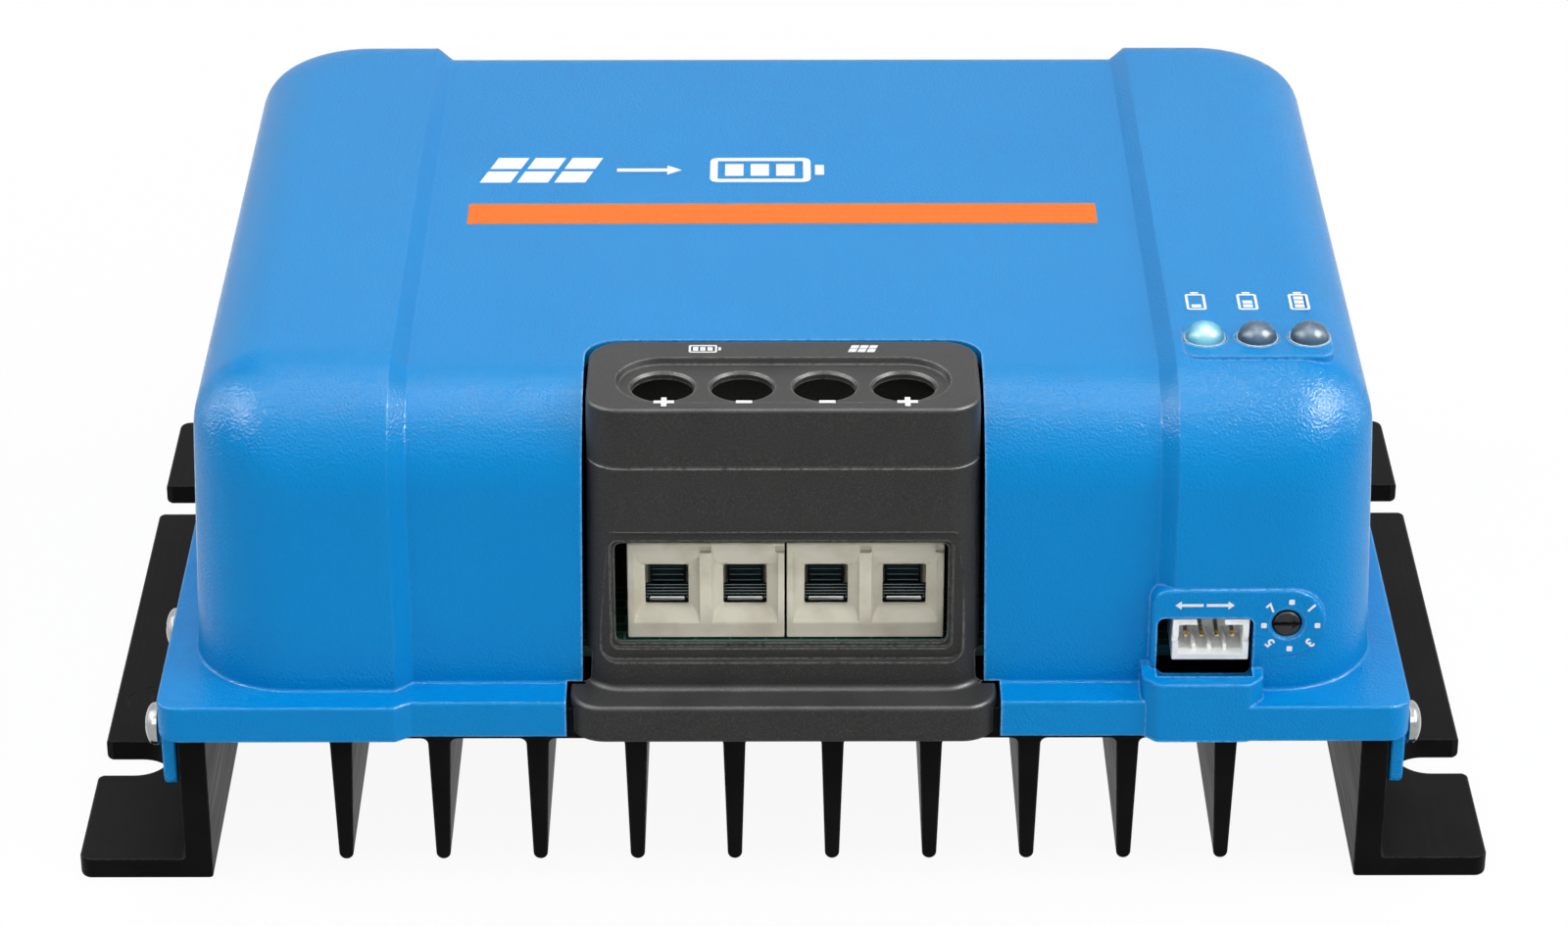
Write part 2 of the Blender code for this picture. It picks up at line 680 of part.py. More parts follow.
def lamp_pad_outline():
    front = LAMP_Y - LAMP_PAD_FRONT
    back = LAMP_Y + LAMP_PAD_BACK
    return rounded(LAMP_X - LAMP_PAD_HALF, LAMP_X + LAMP_PAD_HALF, front, back, LAMP_PAD_CORNER)


def shroud_outline(half, front, back, radius):
    return rounded(-half, half, -front, -back, radius)


def cover_openings():
    """Cutters for the shroud's notch, the connector pocket, the selector, lamps and side screws."""
    bm = bmesh.new()
    far = COVER_LENGTH
    notch_half = SHROUD_HALF + NOTCH_PLAY
    notch = shroud_outline(notch_half, far, SHROUD_BACK - NOTCH_PLAY, SHROUD_CORNER)
    add_prism(bm, notch, LIP_TOP, COVER_TOP + OVERLAP)
    ring = circle(SELECTOR_X, SELECTOR_Z, ROTOR_RADIUS + HOLE_PLAY, FINE)
    add_prism(bm, ring, -COVER_LENGTH / 2, -SELECTOR_FRONT + GAP, "Y")
    pocket = rectangle(POCKET_LEFT, POCKET_RIGHT, POCKET_BOTTOM, POCKET_TOP)
    add_prism(bm, pocket, -POCKET_FRONT, -HEADER_FRONT + HEADER_DEPTH, "Y")
    for x in lamp_places():
        ring = circle(x, LAMP_Y, LAMP_RADIUS + HOLE_PLAY, FINE)
        add_prism(bm, ring, LAMP_PAD_TOP - 2 * LAMP_PAD_DEEP, LAMP_PAD_TOP + OVERLAP)
    for _, side, y in side_screw_places():
        ring = circle(y, SIDE_SCREW_Z, SIDE_SHANK_RADIUS + HOLE_PLAY, COARSE)
        add_prism(bm, ring, side * LEG_OUTER, side * (LIP_HALF + GAP), "X")
    return bm


def lip_notch():
    half = SHROUD_LIP_HALF + NOTCH_PLAY
    outline = rectangle(-half, half, -COVER_LENGTH, -SHROUD_BACK - SHROUD_DEEP / 2)
    return prism(outline, SKIRT_BOTTOM, LIP_TOP + GAP)


def make_cover(mats):
    cover = add_object("cover", cover_shell(), mats["blue"])
    extras = bmesh.new()
    for side in (-1, 1):
        add_skirt(extras, side)
    join(cover, extras)
    join(cover, prism(ledge_outline(SINK_LENGTH / 2 + GAP), LIP_BOTTOM + SKIN, LIP_TOP))
    join(cover, prism(ledge_outline(LEDGE_BACK), BASE_TOP + GAP + SKIN, LEDGE_TOP))
    join(cover, prism(pad_outline(), -PAD_FRONT, -PAD_FRONT + PAD_DEPTH, "Y"))
    join(cover, prism(lamp_pad_outline(), LAMP_PAD_TOP - LAMP_PAD_DEEP, LAMP_PAD_TOP))
    cut(cover, lip_notch())
    cut(cover, cover_openings())


def make_side_screws(mats):
    for name, side, y in side_screw_places():
        seat = LIP_HALF + GAP
        tip = LEG_OUTER - SIDE_HOLE_DEPTH + GAP
        profile = [(SIDE_SHANK_RADIUS, tip), (SIDE_SHANK_RADIUS, seat), (SIDE_HEAD_RADIUS, seat)]
        profile += [(SIDE_HEAD_RADIUS, seat + SIDE_HEAD_HIGH * 0.5)]
        profile += [(SIDE_HEAD_RADIUS * 0.8, seat + SIDE_HEAD_HIGH * 0.9)]
        profile += [(SIDE_HEAD_RADIUS * 0.5, seat + SIDE_HEAD_HIGH)]
        levels = turned_levels(y, SIDE_SCREW_Z, [(radius, side * x) for radius, x in profile], COARSE)
        origin = (side * seat, y, SIDE_SCREW_Z)
        add_object(name, stack(levels, "X"), mats["zinc"], origin)


def shroud_walls():
    """The shroud's hood: a leaning box over the terminals, open below."""
    low = LIP_TOP - OVERLAP
    wall = SHROUD_WALL
    top_half = SHROUD_HALF - SHROUD_TAPER
    top_front = SHROUD_FRONT - SHROUD_LEAN
    inner_corner = SHROUD_CORNER - wall
    foot = shroud_outline(SHROUD_HALF, SHROUD_FRONT, SHROUD_BACK, SHROUD_CORNER)
    crown = shroud_outline(top_half, top_front, SHROUD_BACK, SHROUD_CORNER)
    outer = stack([(foot, low), (crown, SHROUD_TOP)])
    inner_foot = shroud_outline(SHROUD_HALF - wall, SHROUD_FRONT - wall, SHROUD_BACK + wall, inner_corner)
    inner_crown = shroud_outline(top_half - wall, top_front - wall, SHROUD_BACK + wall, inner_corner)
    inner = stack([(inner_foot, low - OVERLAP), (inner_crown, SHROUD_TOP - wall)])
    return outer, inner


def shroud_lip():
    """Block at the shroud's foot that hangs over the heat sink's front edge."""
    front = COVER_LENGTH / 2
    half = SHROUD_LIP_HALF
    corner = SHROUD_LIP_CORNER
    back = SHROUD_FRONT - SHROUD_WALL
    outline = arc(-half + corner, -front + corner, corner, 180, 270, 4)
    outline += arc(half - corner, -front + corner, corner, 270, 360, 4)
    return prism(outline + [(half, -back), (-half, -back)], LIP_BOTTOM, LIP_TOP)


def make_shroud(mats):
    outer, inner = shroud_walls()
    shroud = add_object("terminal_shroud", outer, mats["grey"])
    cut(shroud, inner)
    clear = rectangle(-LIP_HALF, LIP_HALF, -BOARD_TAB_FRONT - NOTCH_PLAY, 0.0)
    cut(shroud, prism(clear, SKIRT_BOTTOM, BOARD_TOP + GAP))
    join(shroud, shroud_lip())
    rebate = rectangle(-LIP_HALF, LIP_HALF, -SINK_LENGTH / 2 - GAP, 0.0)
    cut(shroud, prism(rebate, SKIRT_BOTTOM, BASE_TOP + GAP))
    openings = bmesh.new()
    window = rounded(-WINDOW_HALF, WINDOW_HALF, WINDOW_BOTTOM, WINDOW_TOP, WINDOW_FRAME / 2)
    add_prism(openings, window, -COVER_LENGTH / 2, -SHROUD_FRONT + 2 * SHROUD_WALL, "Y")
    for x in pole_places():
        ring = circle(x - BLOCK_SHIFT, DRIVER_Y, DRIVER_RADIUS, FINE)
        add_prism(openings, ring, SHROUD_TOP - 2 * SHROUD_WALL, SHROUD_TOP + GAP)
    cut(shroud, openings)
    frame = rounded(
        -WINDOW_HALF - WINDOW_FRAME, WINDOW_HALF + WINDOW_FRAME,
        WINDOW_BOTTOM - WINDOW_FRAME, WINDOW_TOP + WINDOW_FRAME, WINDOW_FRAME)
    cut(shroud, prism(frame, -COVER_LENGTH / 2, -SHROUD_FRONT + SHROUD_LEAN / 2 + WINDOW_FRAME_DEPTH, "Y"))
    pill = rounded(
        -DRIVER_RECESS_HALF, DRIVER_RECESS_HALF, DRIVER_Y - DRIVER_RECESS_RADIUS,
        DRIVER_Y + DRIVER_RECESS_RADIUS, DRIVER_RECESS_RADIUS - SKIN, 6)
    cut(shroud, prism(pill, SHROUD_TOP - DRIVER_RECESS_DEEP, SHROUD_TOP + GAP))


def make_board(mats):
    bottom = BOARD_TOP - BOARD_THICK
    outline = [(BOARD_HALF, -BOARD_FRONT), (BOARD_HALF, BOARD_BACK), (-BOARD_HALF, BOARD_BACK)]
    outline += [(-BOARD_HALF, -BOARD_FRONT), (-BOARD_TAB_HALF, -BOARD_FRONT)]
    outline += [(-BOARD_TAB_HALF, -BOARD_TAB_FRONT), (BOARD_TAB_HALF, -BOARD_TAB_FRONT)]
    outline += [(BOARD_TAB_HALF, -BOARD_FRONT)]
    board = add_object("circuit_board", prism(outline, bottom, BOARD_TOP), mats["board"])
    holes = bmesh.new()
    for x, y in standoff_places():
        add_prism(holes, circle(x, y, STUD_RADIUS + HOLE_PLAY, COARSE), bottom - GAP, BOARD_TOP + GAP)
    cut(board, holes)


def make_standoffs(mats):
    low = BASE_TOP + GAP
    high = BOARD_TOP - BOARD_THICK - GAP
    bore = STUD_RADIUS + HOLE_PLAY
    for number, (x, y) in enumerate(standoff_places(), 1):
        stud = [(circle(x, y, STUD_RADIUS, COARSE), BASE_TOP - STUD_LENGTH)]
        stud += [(circle(x, y, STUD_RADIUS, COARSE), low + OVERLAP)]
        standoff = add_object("standoff_%d" % number, prism(circle(x, y, STANDOFF_RADIUS, 6), low, high),
                              mats["brass"], (x, y, low))
        join(standoff, stack(stud))
        cut(standoff, prism(circle(x, y, bore, COARSE), high - BOARD_SHANK + BOARD_THICK, high + GAP))
        seat = BOARD_TOP + GAP
        profile = [(STUD_RADIUS, seat - BOARD_SHANK), (STUD_RADIUS, seat), (BOARD_HEAD_RADIUS, seat)]
        profile += [(BOARD_HEAD_RADIUS, seat + BOARD_HEAD_HIGH * 0.6)]
        profile += [(BOARD_HEAD_RADIUS * 0.7, seat + BOARD_HEAD_HIGH)]
        screw = stack(turned_levels(x, y, profile, COARSE))
        add_object("board_screw_%d" % number, screw, mats["zinc"], (x, y, seat))


def chamber_cutters(x):
    """Cutters of one pole: wire mouth, cage chamber, contact slot, neck and screw bore."""
    half_mouth = MOUTH_WIDTH / 2
    half_funnel = FUNNEL_WIDTH / 2
    face = -BLOCK_FRONT
    throat = face + MOUTH_DEPTH
    chamber_front = CLAMP_Y - CHAMBER_DEPTH / 2
    chamber_back = CLAMP_Y + CHAMBER_DEPTH / 2
    mouth = rectangle(x - half_mouth, x + half_mouth, MOUTH_BOTTOM, MOUTH_TOP)
    funnel = rectangle(x - half_funnel, x + half_funnel, FUNNEL_BOTTOM, FUNNEL_TOP)
    half = CHAMBER_WIDTH / 2
    chamber = rectangle(x - half, x + half, chamber_front, chamber_back)
    slot_half = BAR_WIDTH / 2 + HOLE_PLAY
    slot = rectangle(x - slot_half, x + slot_half, CLAMP_Y, -BAR_BACK + HOLE_PLAY)
    neck = circle(x, CLAMP_Y, CLAMP_SHANK_RADIUS + HOLE_PLAY, COARSE)
    bore = circle(x, CLAMP_Y, CLAMP_HEAD_RADIUS + HOLE_PLAY, FINE)
    return [
        stack([(funnel, face - SKIN), (mouth, throat), (mouth, CLAMP_Y)], "Y"),
        prism(chamber, CHAMBER_BOTTOM, CHAMBER_TOP),
        prism(slot, BOARD_TOP, BAR_Z + BAR_THICK + HOLE_PLAY),
        prism(neck, CHAMBER_TOP - GAP, CLAMP_HEAD_Z),
        prism(bore, CLAMP_HEAD_Z - GAP, BLOCK_TOP + GAP),
    ]


def make_terminal_blocks(mats):
    poles = list(pole_places())
    for number, name in enumerate(("terminal_block_battery", "terminal_block_panel")):
        pair = poles[2 * number:2 * number + 2]
        middle = sum(pair) / 2
        left = middle - BLOCK_WIDTH / 2
        right = middle + BLOCK_WIDTH / 2
        low = BOARD_TOP + GAP
        outline = [(-BLOCK_FRONT, low), (-BLOCK_BACK, low), (-BLOCK_BACK, BLOCK_TOP)]
        outline += [(-BLOCK_FRONT + BLOCK_BROW, BLOCK_TOP), (-BLOCK_FRONT + BLOCK_BROW, BLOCK_BROW_Z)]
        outline += [(-BLOCK_FRONT, BLOCK_BROW_Z)]
        block = add_object(name, prism(outline, left, right, "X"), mats["beige"])
        for x in pair:
            for tool in chamber_cutters(x):
                cut(block, tool)


def make_clamps(mats):
    """Clamp screw, rising cage and fixed contact bar of each pole, cages fully lowered."""
    jaw_top = MOUTH_BOTTOM - SKIN
    cage_low = jaw_top - CAGE_JAW
    roof_low = jaw_top + CAGE_INSIDE
    near = CLAMP_Y - CAGE_DEPTH / 2
    far = CLAMP_Y + CAGE_DEPTH / 2
    half = CAGE_WIDTH / 2
    bar_half = BAR_WIDTH / 2
    bar_top = BAR_Z + BAR_THICK
    for number, x in enumerate(pole_places(), 1):
        frame = rectangle(x - half, x + half, cage_low, roof_low + CAGE_ROOF)
        cage = add_object("clamp_cage_%d" % number, prism(frame, near, far, "Y"),
                          mats["zinc"], (x, CLAMP_Y, jaw_top))
        inside = rectangle(x - half + CAGE_WALL, x + half - CAGE_WALL, jaw_top, roof_low)
        cut(cage, prism(inside, near - GAP, far + GAP, "Y"))
        thread = circle(x, CLAMP_Y, CLAMP_SHANK_RADIUS + HOLE_PLAY, COARSE)
        cut(cage, prism(thread, roof_low - GAP, roof_low + CAGE_ROOF + GAP))
        head = CLAMP_HEAD_Z + GAP
        head_top = head + CLAMP_HEAD_HIGH
        profile = [(CLAMP_SHANK_RADIUS, bar_top + 2 * GAP), (CLAMP_SHANK_RADIUS, head)]
        profile += [(CLAMP_HEAD_RADIUS, head), (CLAMP_HEAD_RADIUS, head_top)]
        screw = add_object("clamp_screw_%d" % number, stack(turned_levels(x, CLAMP_Y, profile, COARSE)),
                           mats["zinc"], (x, CLAMP_Y, head))
        reach = CLAMP_HEAD_RADIUS + GAP
        slot = DRIVE_SLOT_WIDTH / 2
        drive = rectangle(x - reach, x + reach, CLAMP_Y - slot, CLAMP_Y + slot)
        cut(screw, prism(drive, head_top - DRIVE_SLOT_DEEP, head_top + GAP))
        bar = [(near + GAP, BAR_Z), (-BAR_BACK - BAR_THICK, BAR_Z), (-BAR_BACK - BAR_THICK, BOARD_TOP + GAP)]
        bar += [(-BAR_BACK, BOARD_TOP + GAP), (-BAR_BACK, bar_top), (near + GAP, bar_top)]
        add_object("contact_bar_%d" % number, prism(bar, x - bar_half, x + bar_half, "X"), mats["brass"])


def make_connector(mats):
    low = BOARD_TOP + GAP
    high = low + HEADER_HIGH
    back = -HEADER_FRONT + HEADER_DEPTH
    shell = rectangle(HEADER_LEFT, HEADER_RIGHT, low, high)
    header = add_object("data_connector", prism(shell, -HEADER_FRONT, back, "Y"), mats["white"])
    wall = HEADER_WALL
    inside = rectangle(HEADER_LEFT + wall, HEADER_RIGHT - wall, low + wall, high - wall)
    cut(header, prism(inside, -HEADER_FRONT - GAP, back - HEADER_FLOOR, "Y"))
    middle = (HEADER_LEFT + HEADER_RIGHT) / 2
    places = [middle + (i - (PIN_COUNT - 1) / 2) * PIN_PITCH for i in range(PIN_COUNT)]
    notch = rectangle(middle - PIN_PITCH / 2, middle + PIN_PITCH / 2, high - 2 * wall, high + GAP)
    cut(header, prism(notch, -HEADER_FRONT - GAP, back - HEADER_FLOOR, "Y"))
    holes = bmesh.new()
    bore = PIN_SIZE / 2 + HOLE_PLAY
    for x in places:
        hole = rectangle(x - bore, x + bore, PIN_Z - bore, PIN_Z + bore)
        add_prism(holes, hole, back - HEADER_FLOOR - GAP, back + GAP, "Y")
    cut(header, holes)
    half = PIN_SIZE / 2
    tip = back - HEADER_FLOOR - PIN_REACH
    for number, x in enumerate(places, 1):
        pin = [(tip, PIN_Z - half), (back + PIN_SIZE, PIN_Z - half), (back + PIN_SIZE, low)]
        pin += [(back + 2 * PIN_SIZE, low), (back + 2 * PIN_SIZE, PIN_Z + half), (tip, PIN_Z + half)]
        add_object("connector_pin_%d" % number, prism(pin, x - half, x + half, "X"), mats["gold"])


def make_selector(mats):
    low = BOARD_TOP + GAP
    front = -SELECTOR_FRONT
    box = rectangle(SELECTOR_X - SELECTOR_HALF, SELECTOR_X + SELECTOR_HALF, low, SELECTOR_TOP)
    body = add_object("selector_switch", prism(box, front, front + SELECTOR_DEPTH, "Y"), mats["black"])
    seat = circle(SELECTOR_X, SELECTOR_Z, ROTOR_RADIUS + HOLE_PLAY, FINE)
    cut(body, prism(seat, front - GAP, front + ROTOR_SEAT + GAP, "Y"))
    disc = circle(SELECTOR_X, SELECTOR_Z, ROTOR_RADIUS, FINE)
    rotor = add_object("selector_rotor", prism(disc, -ROTOR_FRONT, front + ROTOR_SEAT, "Y"), mats["black"],
                       (SELECTOR_X, -ROTOR_FRONT, SELECTOR_Z))
    reach = ROTOR_RADIUS + GAP
    wide = ROTOR_SLOT / 2
    slot = rectangle(SELECTOR_X - reach, SELECTOR_X + reach, SELECTOR_Z - wide, SELECTOR_Z + wide)
    cut(rotor, prism(slot, -ROTOR_FRONT - GAP, -ROTOR_FRONT + ROTOR_SLOT_DEEP, "Y"))


def make_lamps(mats):
    """Light guides with domed tops, each over an LED on the board."""
    flange_top = LAMP_PAD_TOP - LAMP_PAD_DEEP - GAP
    led_low = BOARD_TOP + GAP
    led_top = led_low + LED_HIGH
    for number, x in enumerate(lamp_places(), 1):
        profile = [(LAMP_ROD, led_top + GAP), (LAMP_ROD, flange_top - LAMP_FLANGE_HIGH)]
        profile += [(LAMP_FLANGE, flange_top - LAMP_FLANGE_HIGH), (LAMP_FLANGE, flange_top)]
        profile += [(LAMP_RADIUS, flange_top)]
        for angle in (0, 25, 50, 72):
            rise = math.radians(angle)
            profile.append((LAMP_RADIUS * math.cos(rise), LAMP_PAD_TOP + LAMP_DOME * math.sin(rise)))
        lamp = stack(turned_levels(x, LAMP_Y, profile, FINE))
        add_object("status_lamp_%d" % number, lamp, mats["lens"], (x, LAMP_Y, LAMP_PAD_TOP))
        half = LED_SIZE / 2
        chip = rounded(x - half, x + half, LAMP_Y - half, LAMP_Y + half, half / 3, 2)
        add_object("status_led_%d" % number, prism(chip, led_low, led_top), mats["led"])


def make_inductor(mats):
    low = BOARD_TOP + GAP
    high = low + CORE_HIGH
    near = CORE_Y - CORE_DEPTH / 2
    far = CORE_Y + CORE_DEPTH / 2
    half = CORE_WIDTH / 2
    leg = CORE_LEG / 2
    block = rectangle(CORE_X - half, CORE_X + half, low, high)
    core = add_object("inductor_core", prism(block, near, far, "Y"), mats["ferrite"])
    windows = bmesh.new()
    for side in (-1, 1):
        edges = sorted((CORE_X + side * leg, CORE_X + side * (half - CORE_LIMB)))
        add_prism(windows, rectangle(*edges, low + CORE_LIMB, high - CORE_LIMB), near - GAP, far + GAP, "Y")
    cut(core, windows)
    hole_half = leg + WINDING_PLAY
    hole_near = near - WINDING_PLAY
    hole_far = far + WINDING_PLAY
    thick = WINDING_THICK
    bottom = low + CORE_LIMB + WINDING_PLAY
    top = high - CORE_LIMB - WINDING_PLAY
    ring_half = hole_half + thick
    ring = rounded(CORE_X - ring_half, CORE_X + ring_half, hole_near - thick, hole_far + thick, thick)
    winding = add_object("inductor_winding", prism(ring, bottom, top), mats["copper"])
    hole = rectangle(CORE_X - hole_half, CORE_X + hole_half, hole_near, hole_far)
    cut(winding, prism(hole, bottom - GAP, top + GAP))


def make_capacitors(mats):
    low = BOARD_TOP + GAP
    high = low + CAPACITOR_HIGH
    rim = CAPACITOR_RADIUS / 10
    for number in range(3):
        x = (number - 1) * CAPACITOR_PITCH
        profile = [(CAPACITOR_RADIUS - rim, low), (CAPACITOR_RADIUS, low + rim)]
        profile += [(CAPACITOR_RADIUS, high - rim), (CAPACITOR_RADIUS - rim, high)]
        can = stack(turned_levels(x, CAPACITOR_Y, profile, FINE))
        add_object("capacitor_%d" % (number + 1), can, mats["sleeve"], (x, CAPACITOR_Y, low))


def make_transistors(mats):
    """Power transistors on a thermal pad, held down on the base plate by one clamp bar."""
    pad_low = BASE_TOP + GAP
    pad_top = pad_low + PAD_THICK
    body_low = pad_top + GAP
    body_top = body_low + TRANSISTOR_THICK
    back = TRANSISTOR_FRONT + TRANSISTOR_LONG
    screw_places = (-CLAMP_BAR_SCREW_X, CLAMP_BAR_SCREW_X)
    strip = rectangle(-CLAMP_BAR_HALF, CLAMP_BAR_HALF, TRANSISTOR_FRONT, back)
    pad = add_object("thermal_pad", prism(strip, pad_low, pad_top), mats["silicone"])
    play = CLAMP_BAR_SHANK_RADIUS + HOLE_PLAY
    holes = bmesh.new()
    for x in screw_places:
        add_prism(holes, circle(x, CLAMP_BAR_Y, play, COARSE), BASE_TOP, body_low)
    cut(pad, holes)
    for number in range(TRANSISTOR_COUNT):
        x = (number - (TRANSISTOR_COUNT - 1) / 2) * TRANSISTOR_PITCH
        half = TRANSISTOR_WIDTH / 2
        case = prism(rectangle(x - half, x + half, TRANSISTOR_FRONT, back), body_low, body_top)
        transistor = add_object("transistor_%d" % (number + 1), case, mats["black"])
        for step in (-1, 0, 1):
            middle = x + step * LEAD_PITCH
            lead_low = body_low + TRANSISTOR_THICK / 2 - LEAD_SIZE
            tip = BOARD_BACK - LEAD_TUCK
            rise = BOARD_TOP - BOARD_THICK - GAP
            lead = [(TRANSISTOR_FRONT + OVERLAP, lead_low), (tip, lead_low), (tip, rise)]
            lead += [(tip + LEAD_SIZE, rise), (tip + LEAD_SIZE, lead_low + LEAD_SIZE)]
            lead += [(TRANSISTOR_FRONT + OVERLAP, lead_low + LEAD_SIZE)]
            join(transistor, prism(lead, middle - LEAD_SIZE / 2, middle + LEAD_SIZE / 2, "X"))
    bar_low = body_top + GAP
    bar_top = bar_low + CLAMP_BAR_THICK
    wide = CLAMP_BAR_WIDE / 2
    strap = rectangle(-CLAMP_BAR_HALF, CLAMP_BAR_HALF, CLAMP_BAR_Y - wide, CLAMP_BAR_Y + wide)
    bar = add_object("clamp_bar", prism(strap, bar_low, bar_top), mats["zinc"])
    holes = bmesh.new()
    for x in screw_places:
        add_prism(holes, circle(x, CLAMP_BAR_Y, play, COARSE), bar_low - GAP, bar_top + GAP)
    cut(bar, holes)
    seat = bar_top + GAP
    for number, x in enumerate(screw_places, 1):
        profile = [(CLAMP_BAR_SHANK_RADIUS, BASE_TOP - CLAMP_BAR_REACH), (CLAMP_BAR_SHANK_RADIUS, seat)]
        profile += [(CLAMP_BAR_HEAD_RADIUS, seat), (CLAMP_BAR_HEAD_RADIUS, seat + CLAMP_BAR_HEAD_HIGH)]
        screw = stack(turned_levels(x, CLAMP_BAR_Y, profile, COARSE))
        add_object("clamp_bar_screw_%d" % number, screw, mats["zinc"], (x, CLAMP_BAR_Y, seat))


def build():
    clear_scene()
    mats = make_materials()
    make_heat_sink(mats)
    make_cover(mats)
    make_side_screws(mats)
    make_shroud(mats)
    make_board(mats)
    make_standoffs(mats)
    make_terminal_blocks(mats)
    make_clamps(mats)
    make_connector(mats)
    make_selector(mats)
    make_lamps(mats)
    make_inductor(mats)
    make_capacitors(mats)
    make_transistors(mats)
    root = bpy.data.objects.new("charge_controller", None)
    bpy.context.collection.objects.link(root)
    finish(root)


build()
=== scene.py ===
# %% [markdown]
# # A solar charge controller
# The real object is a black finned heat sink, a blue cast cover over it, a dark hood round four screw
# terminals, and a few small controls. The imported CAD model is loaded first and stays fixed. Every piece
# below is a finer version of one of its solids, and rides on the body that the solid belongs to.
# The meshes could be modelled by hand, but code keeps every size in one place and gives the same result
# on each run. Sizes are written in millimetres, and a piece is scaled to metres once, when it is done.

# %% Load the frame
import math

import bmesh
import bpy
from mathutils import Matrix, Vector


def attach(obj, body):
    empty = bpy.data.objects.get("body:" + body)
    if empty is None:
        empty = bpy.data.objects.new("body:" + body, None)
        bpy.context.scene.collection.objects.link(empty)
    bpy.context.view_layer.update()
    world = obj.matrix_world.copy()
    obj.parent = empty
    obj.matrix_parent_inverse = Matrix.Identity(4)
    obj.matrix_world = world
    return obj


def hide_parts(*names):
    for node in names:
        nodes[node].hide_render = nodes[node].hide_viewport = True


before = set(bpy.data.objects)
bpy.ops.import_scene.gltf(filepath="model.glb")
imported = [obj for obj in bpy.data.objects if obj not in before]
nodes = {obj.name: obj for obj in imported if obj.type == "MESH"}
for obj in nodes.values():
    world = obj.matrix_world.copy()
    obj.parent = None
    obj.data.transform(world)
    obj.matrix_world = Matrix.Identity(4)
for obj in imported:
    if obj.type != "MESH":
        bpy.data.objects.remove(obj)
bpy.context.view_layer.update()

MM = 0.001

# %% [markdown]
# ## Camera
# The camera stands in front of the terminals and looks down at about 28 degrees with a long lens, so the
# sides run together only a little. Its place was worked out from the corners of the cover and the flanges,
# which is more exact than turning the view by hand until it looks right.

# %% Camera
CAMERA_PLACE = (-0.0015, -0.5903, 0.3440)
CAMERA_TURN = (61.90, 0.0, -0.170)
CAMERA_LENS = 109.03


def add_camera():
    data = bpy.data.cameras.new("camera")
    data.lens = CAMERA_LENS
    data.sensor_width = 36.0
    camera = bpy.data.objects.new("camera", data)
    camera.location = CAMERA_PLACE
    camera.rotation_euler = [math.radians(angle) for angle in CAMERA_TURN]
    bpy.context.scene.collection.objects.link(camera)
    bpy.context.scene.camera = camera
    return camera


print("camera lens:", add_camera().data.lens)

# %% [markdown]
# ## Helpers for nodes
# Materials, the world and the Geometry Nodes trees are all built from nodes. To make, set and link a node by
# hand takes several lines each time, so one function does it: an input that is given a socket is linked to
# it, and any other value is set on the input itself.

# %% Helpers for nodes


def add_node(tree, kind, inputs=None, **settings):
    """A new node with its settings, and its inputs set to values or linked to sockets."""
    node = tree.nodes.new(kind)
    for name, value in settings.items():
        setattr(node, name, value)
    for name, value in (inputs or {}).items():
        if isinstance(value, bpy.types.NodeSocket):
            tree.links.new(value, node.inputs[name])
        else:
            node.inputs[name].default_value = value
    return node


def map_range(tree, value, low, high, first=0.0, last=1.0):
    """Lay a value's span from low to high on the span from first to last."""
    span = {"Value": value, "From Min": low, "From Max": high, "To Min": first, "To Max": last}
    return add_node(tree, "ShaderNodeMapRange", span).outputs["Result"]


def object_place(tree):
    return add_node(tree, "ShaderNodeTexCoord").outputs["Object"]


def distance(tree, place):
    return add_node(tree, "ShaderNodeVectorMath", {0: place}, operation="LENGTH").outputs["Value"]


def new_finish(name, colour, roughness, metallic=0.0, specular=0.5):
    """A material with one Principled shader, its even values set on the shader's own sockets."""
    material = bpy.data.materials.new(name)
    material.use_nodes = True
    tree = material.node_tree
    shader = tree.nodes["Principled BSDF"]
    shader.inputs["Base Color"].default_value = (*colour, 1.0)
    shader.inputs["Roughness"].default_value = roughness
    shader.inputs["Metallic"].default_value = metallic
    shader.inputs["Specular IOR Level"].default_value = specular
    return material, tree, shader


print("helpers ready: add_node, map_range, object_place, distance, new_finish")

# %% [markdown]
# ## Light and floor
# A product like this is lit by a bank of strips overhead, which run as a sheen along the front rounding, with
# a broad one behind them, a large softbox behind the camera, a key lamp low on the right, and two lamps at
# each side: the high one leaves a white patch on the upper corner, and the low one catches the slopes. The
# strips and side lamps are pairs in one place: one lights the colours, and one is only mirrored, so the sheen
# can be strong while the colours stay deep. The world is white where it is seen or mirrored, and dim as a
# lamp. The floor is pale and matt, and most of its white is its own where it is seen, so shadows stay light.

# %% World and floor
WHITE = (1.0, 1.0, 1.0, 1.0)
WORLD_FILL = 0.06
FLOOR_SIDE = 6.0
FLOOR_LEVEL = -0.0001
FLOOR_GREY = (0.75, 0.75, 0.75)
FLOOR_GLOW = 0.93
GLOW_NEAR = 0.12
GLOW_FAR = 0.40


def seen_or_mirrored(tree):
    """A socket that is 1 for camera, mirror and glass rays, and 0 for the light of other surfaces."""
    path = add_node(tree, "ShaderNodeLightPath")
    total = path.outputs["Is Camera Ray"]
    for name in ("Is Glossy Ray", "Is Transmission Ray"):
        either = add_node(tree, "ShaderNodeMath", {0: total, 1: path.outputs[name]}, operation="MAXIMUM")
        total = either.outputs[0]
    return total


def mix_to_output(tree, share, one, two, output):
    mix = add_node(tree, "ShaderNodeMixShader", {0: share, 1: one.outputs[0], 2: two.outputs[0]})
    tree.links.new(mix.outputs[0], tree.nodes[output].inputs["Surface"])


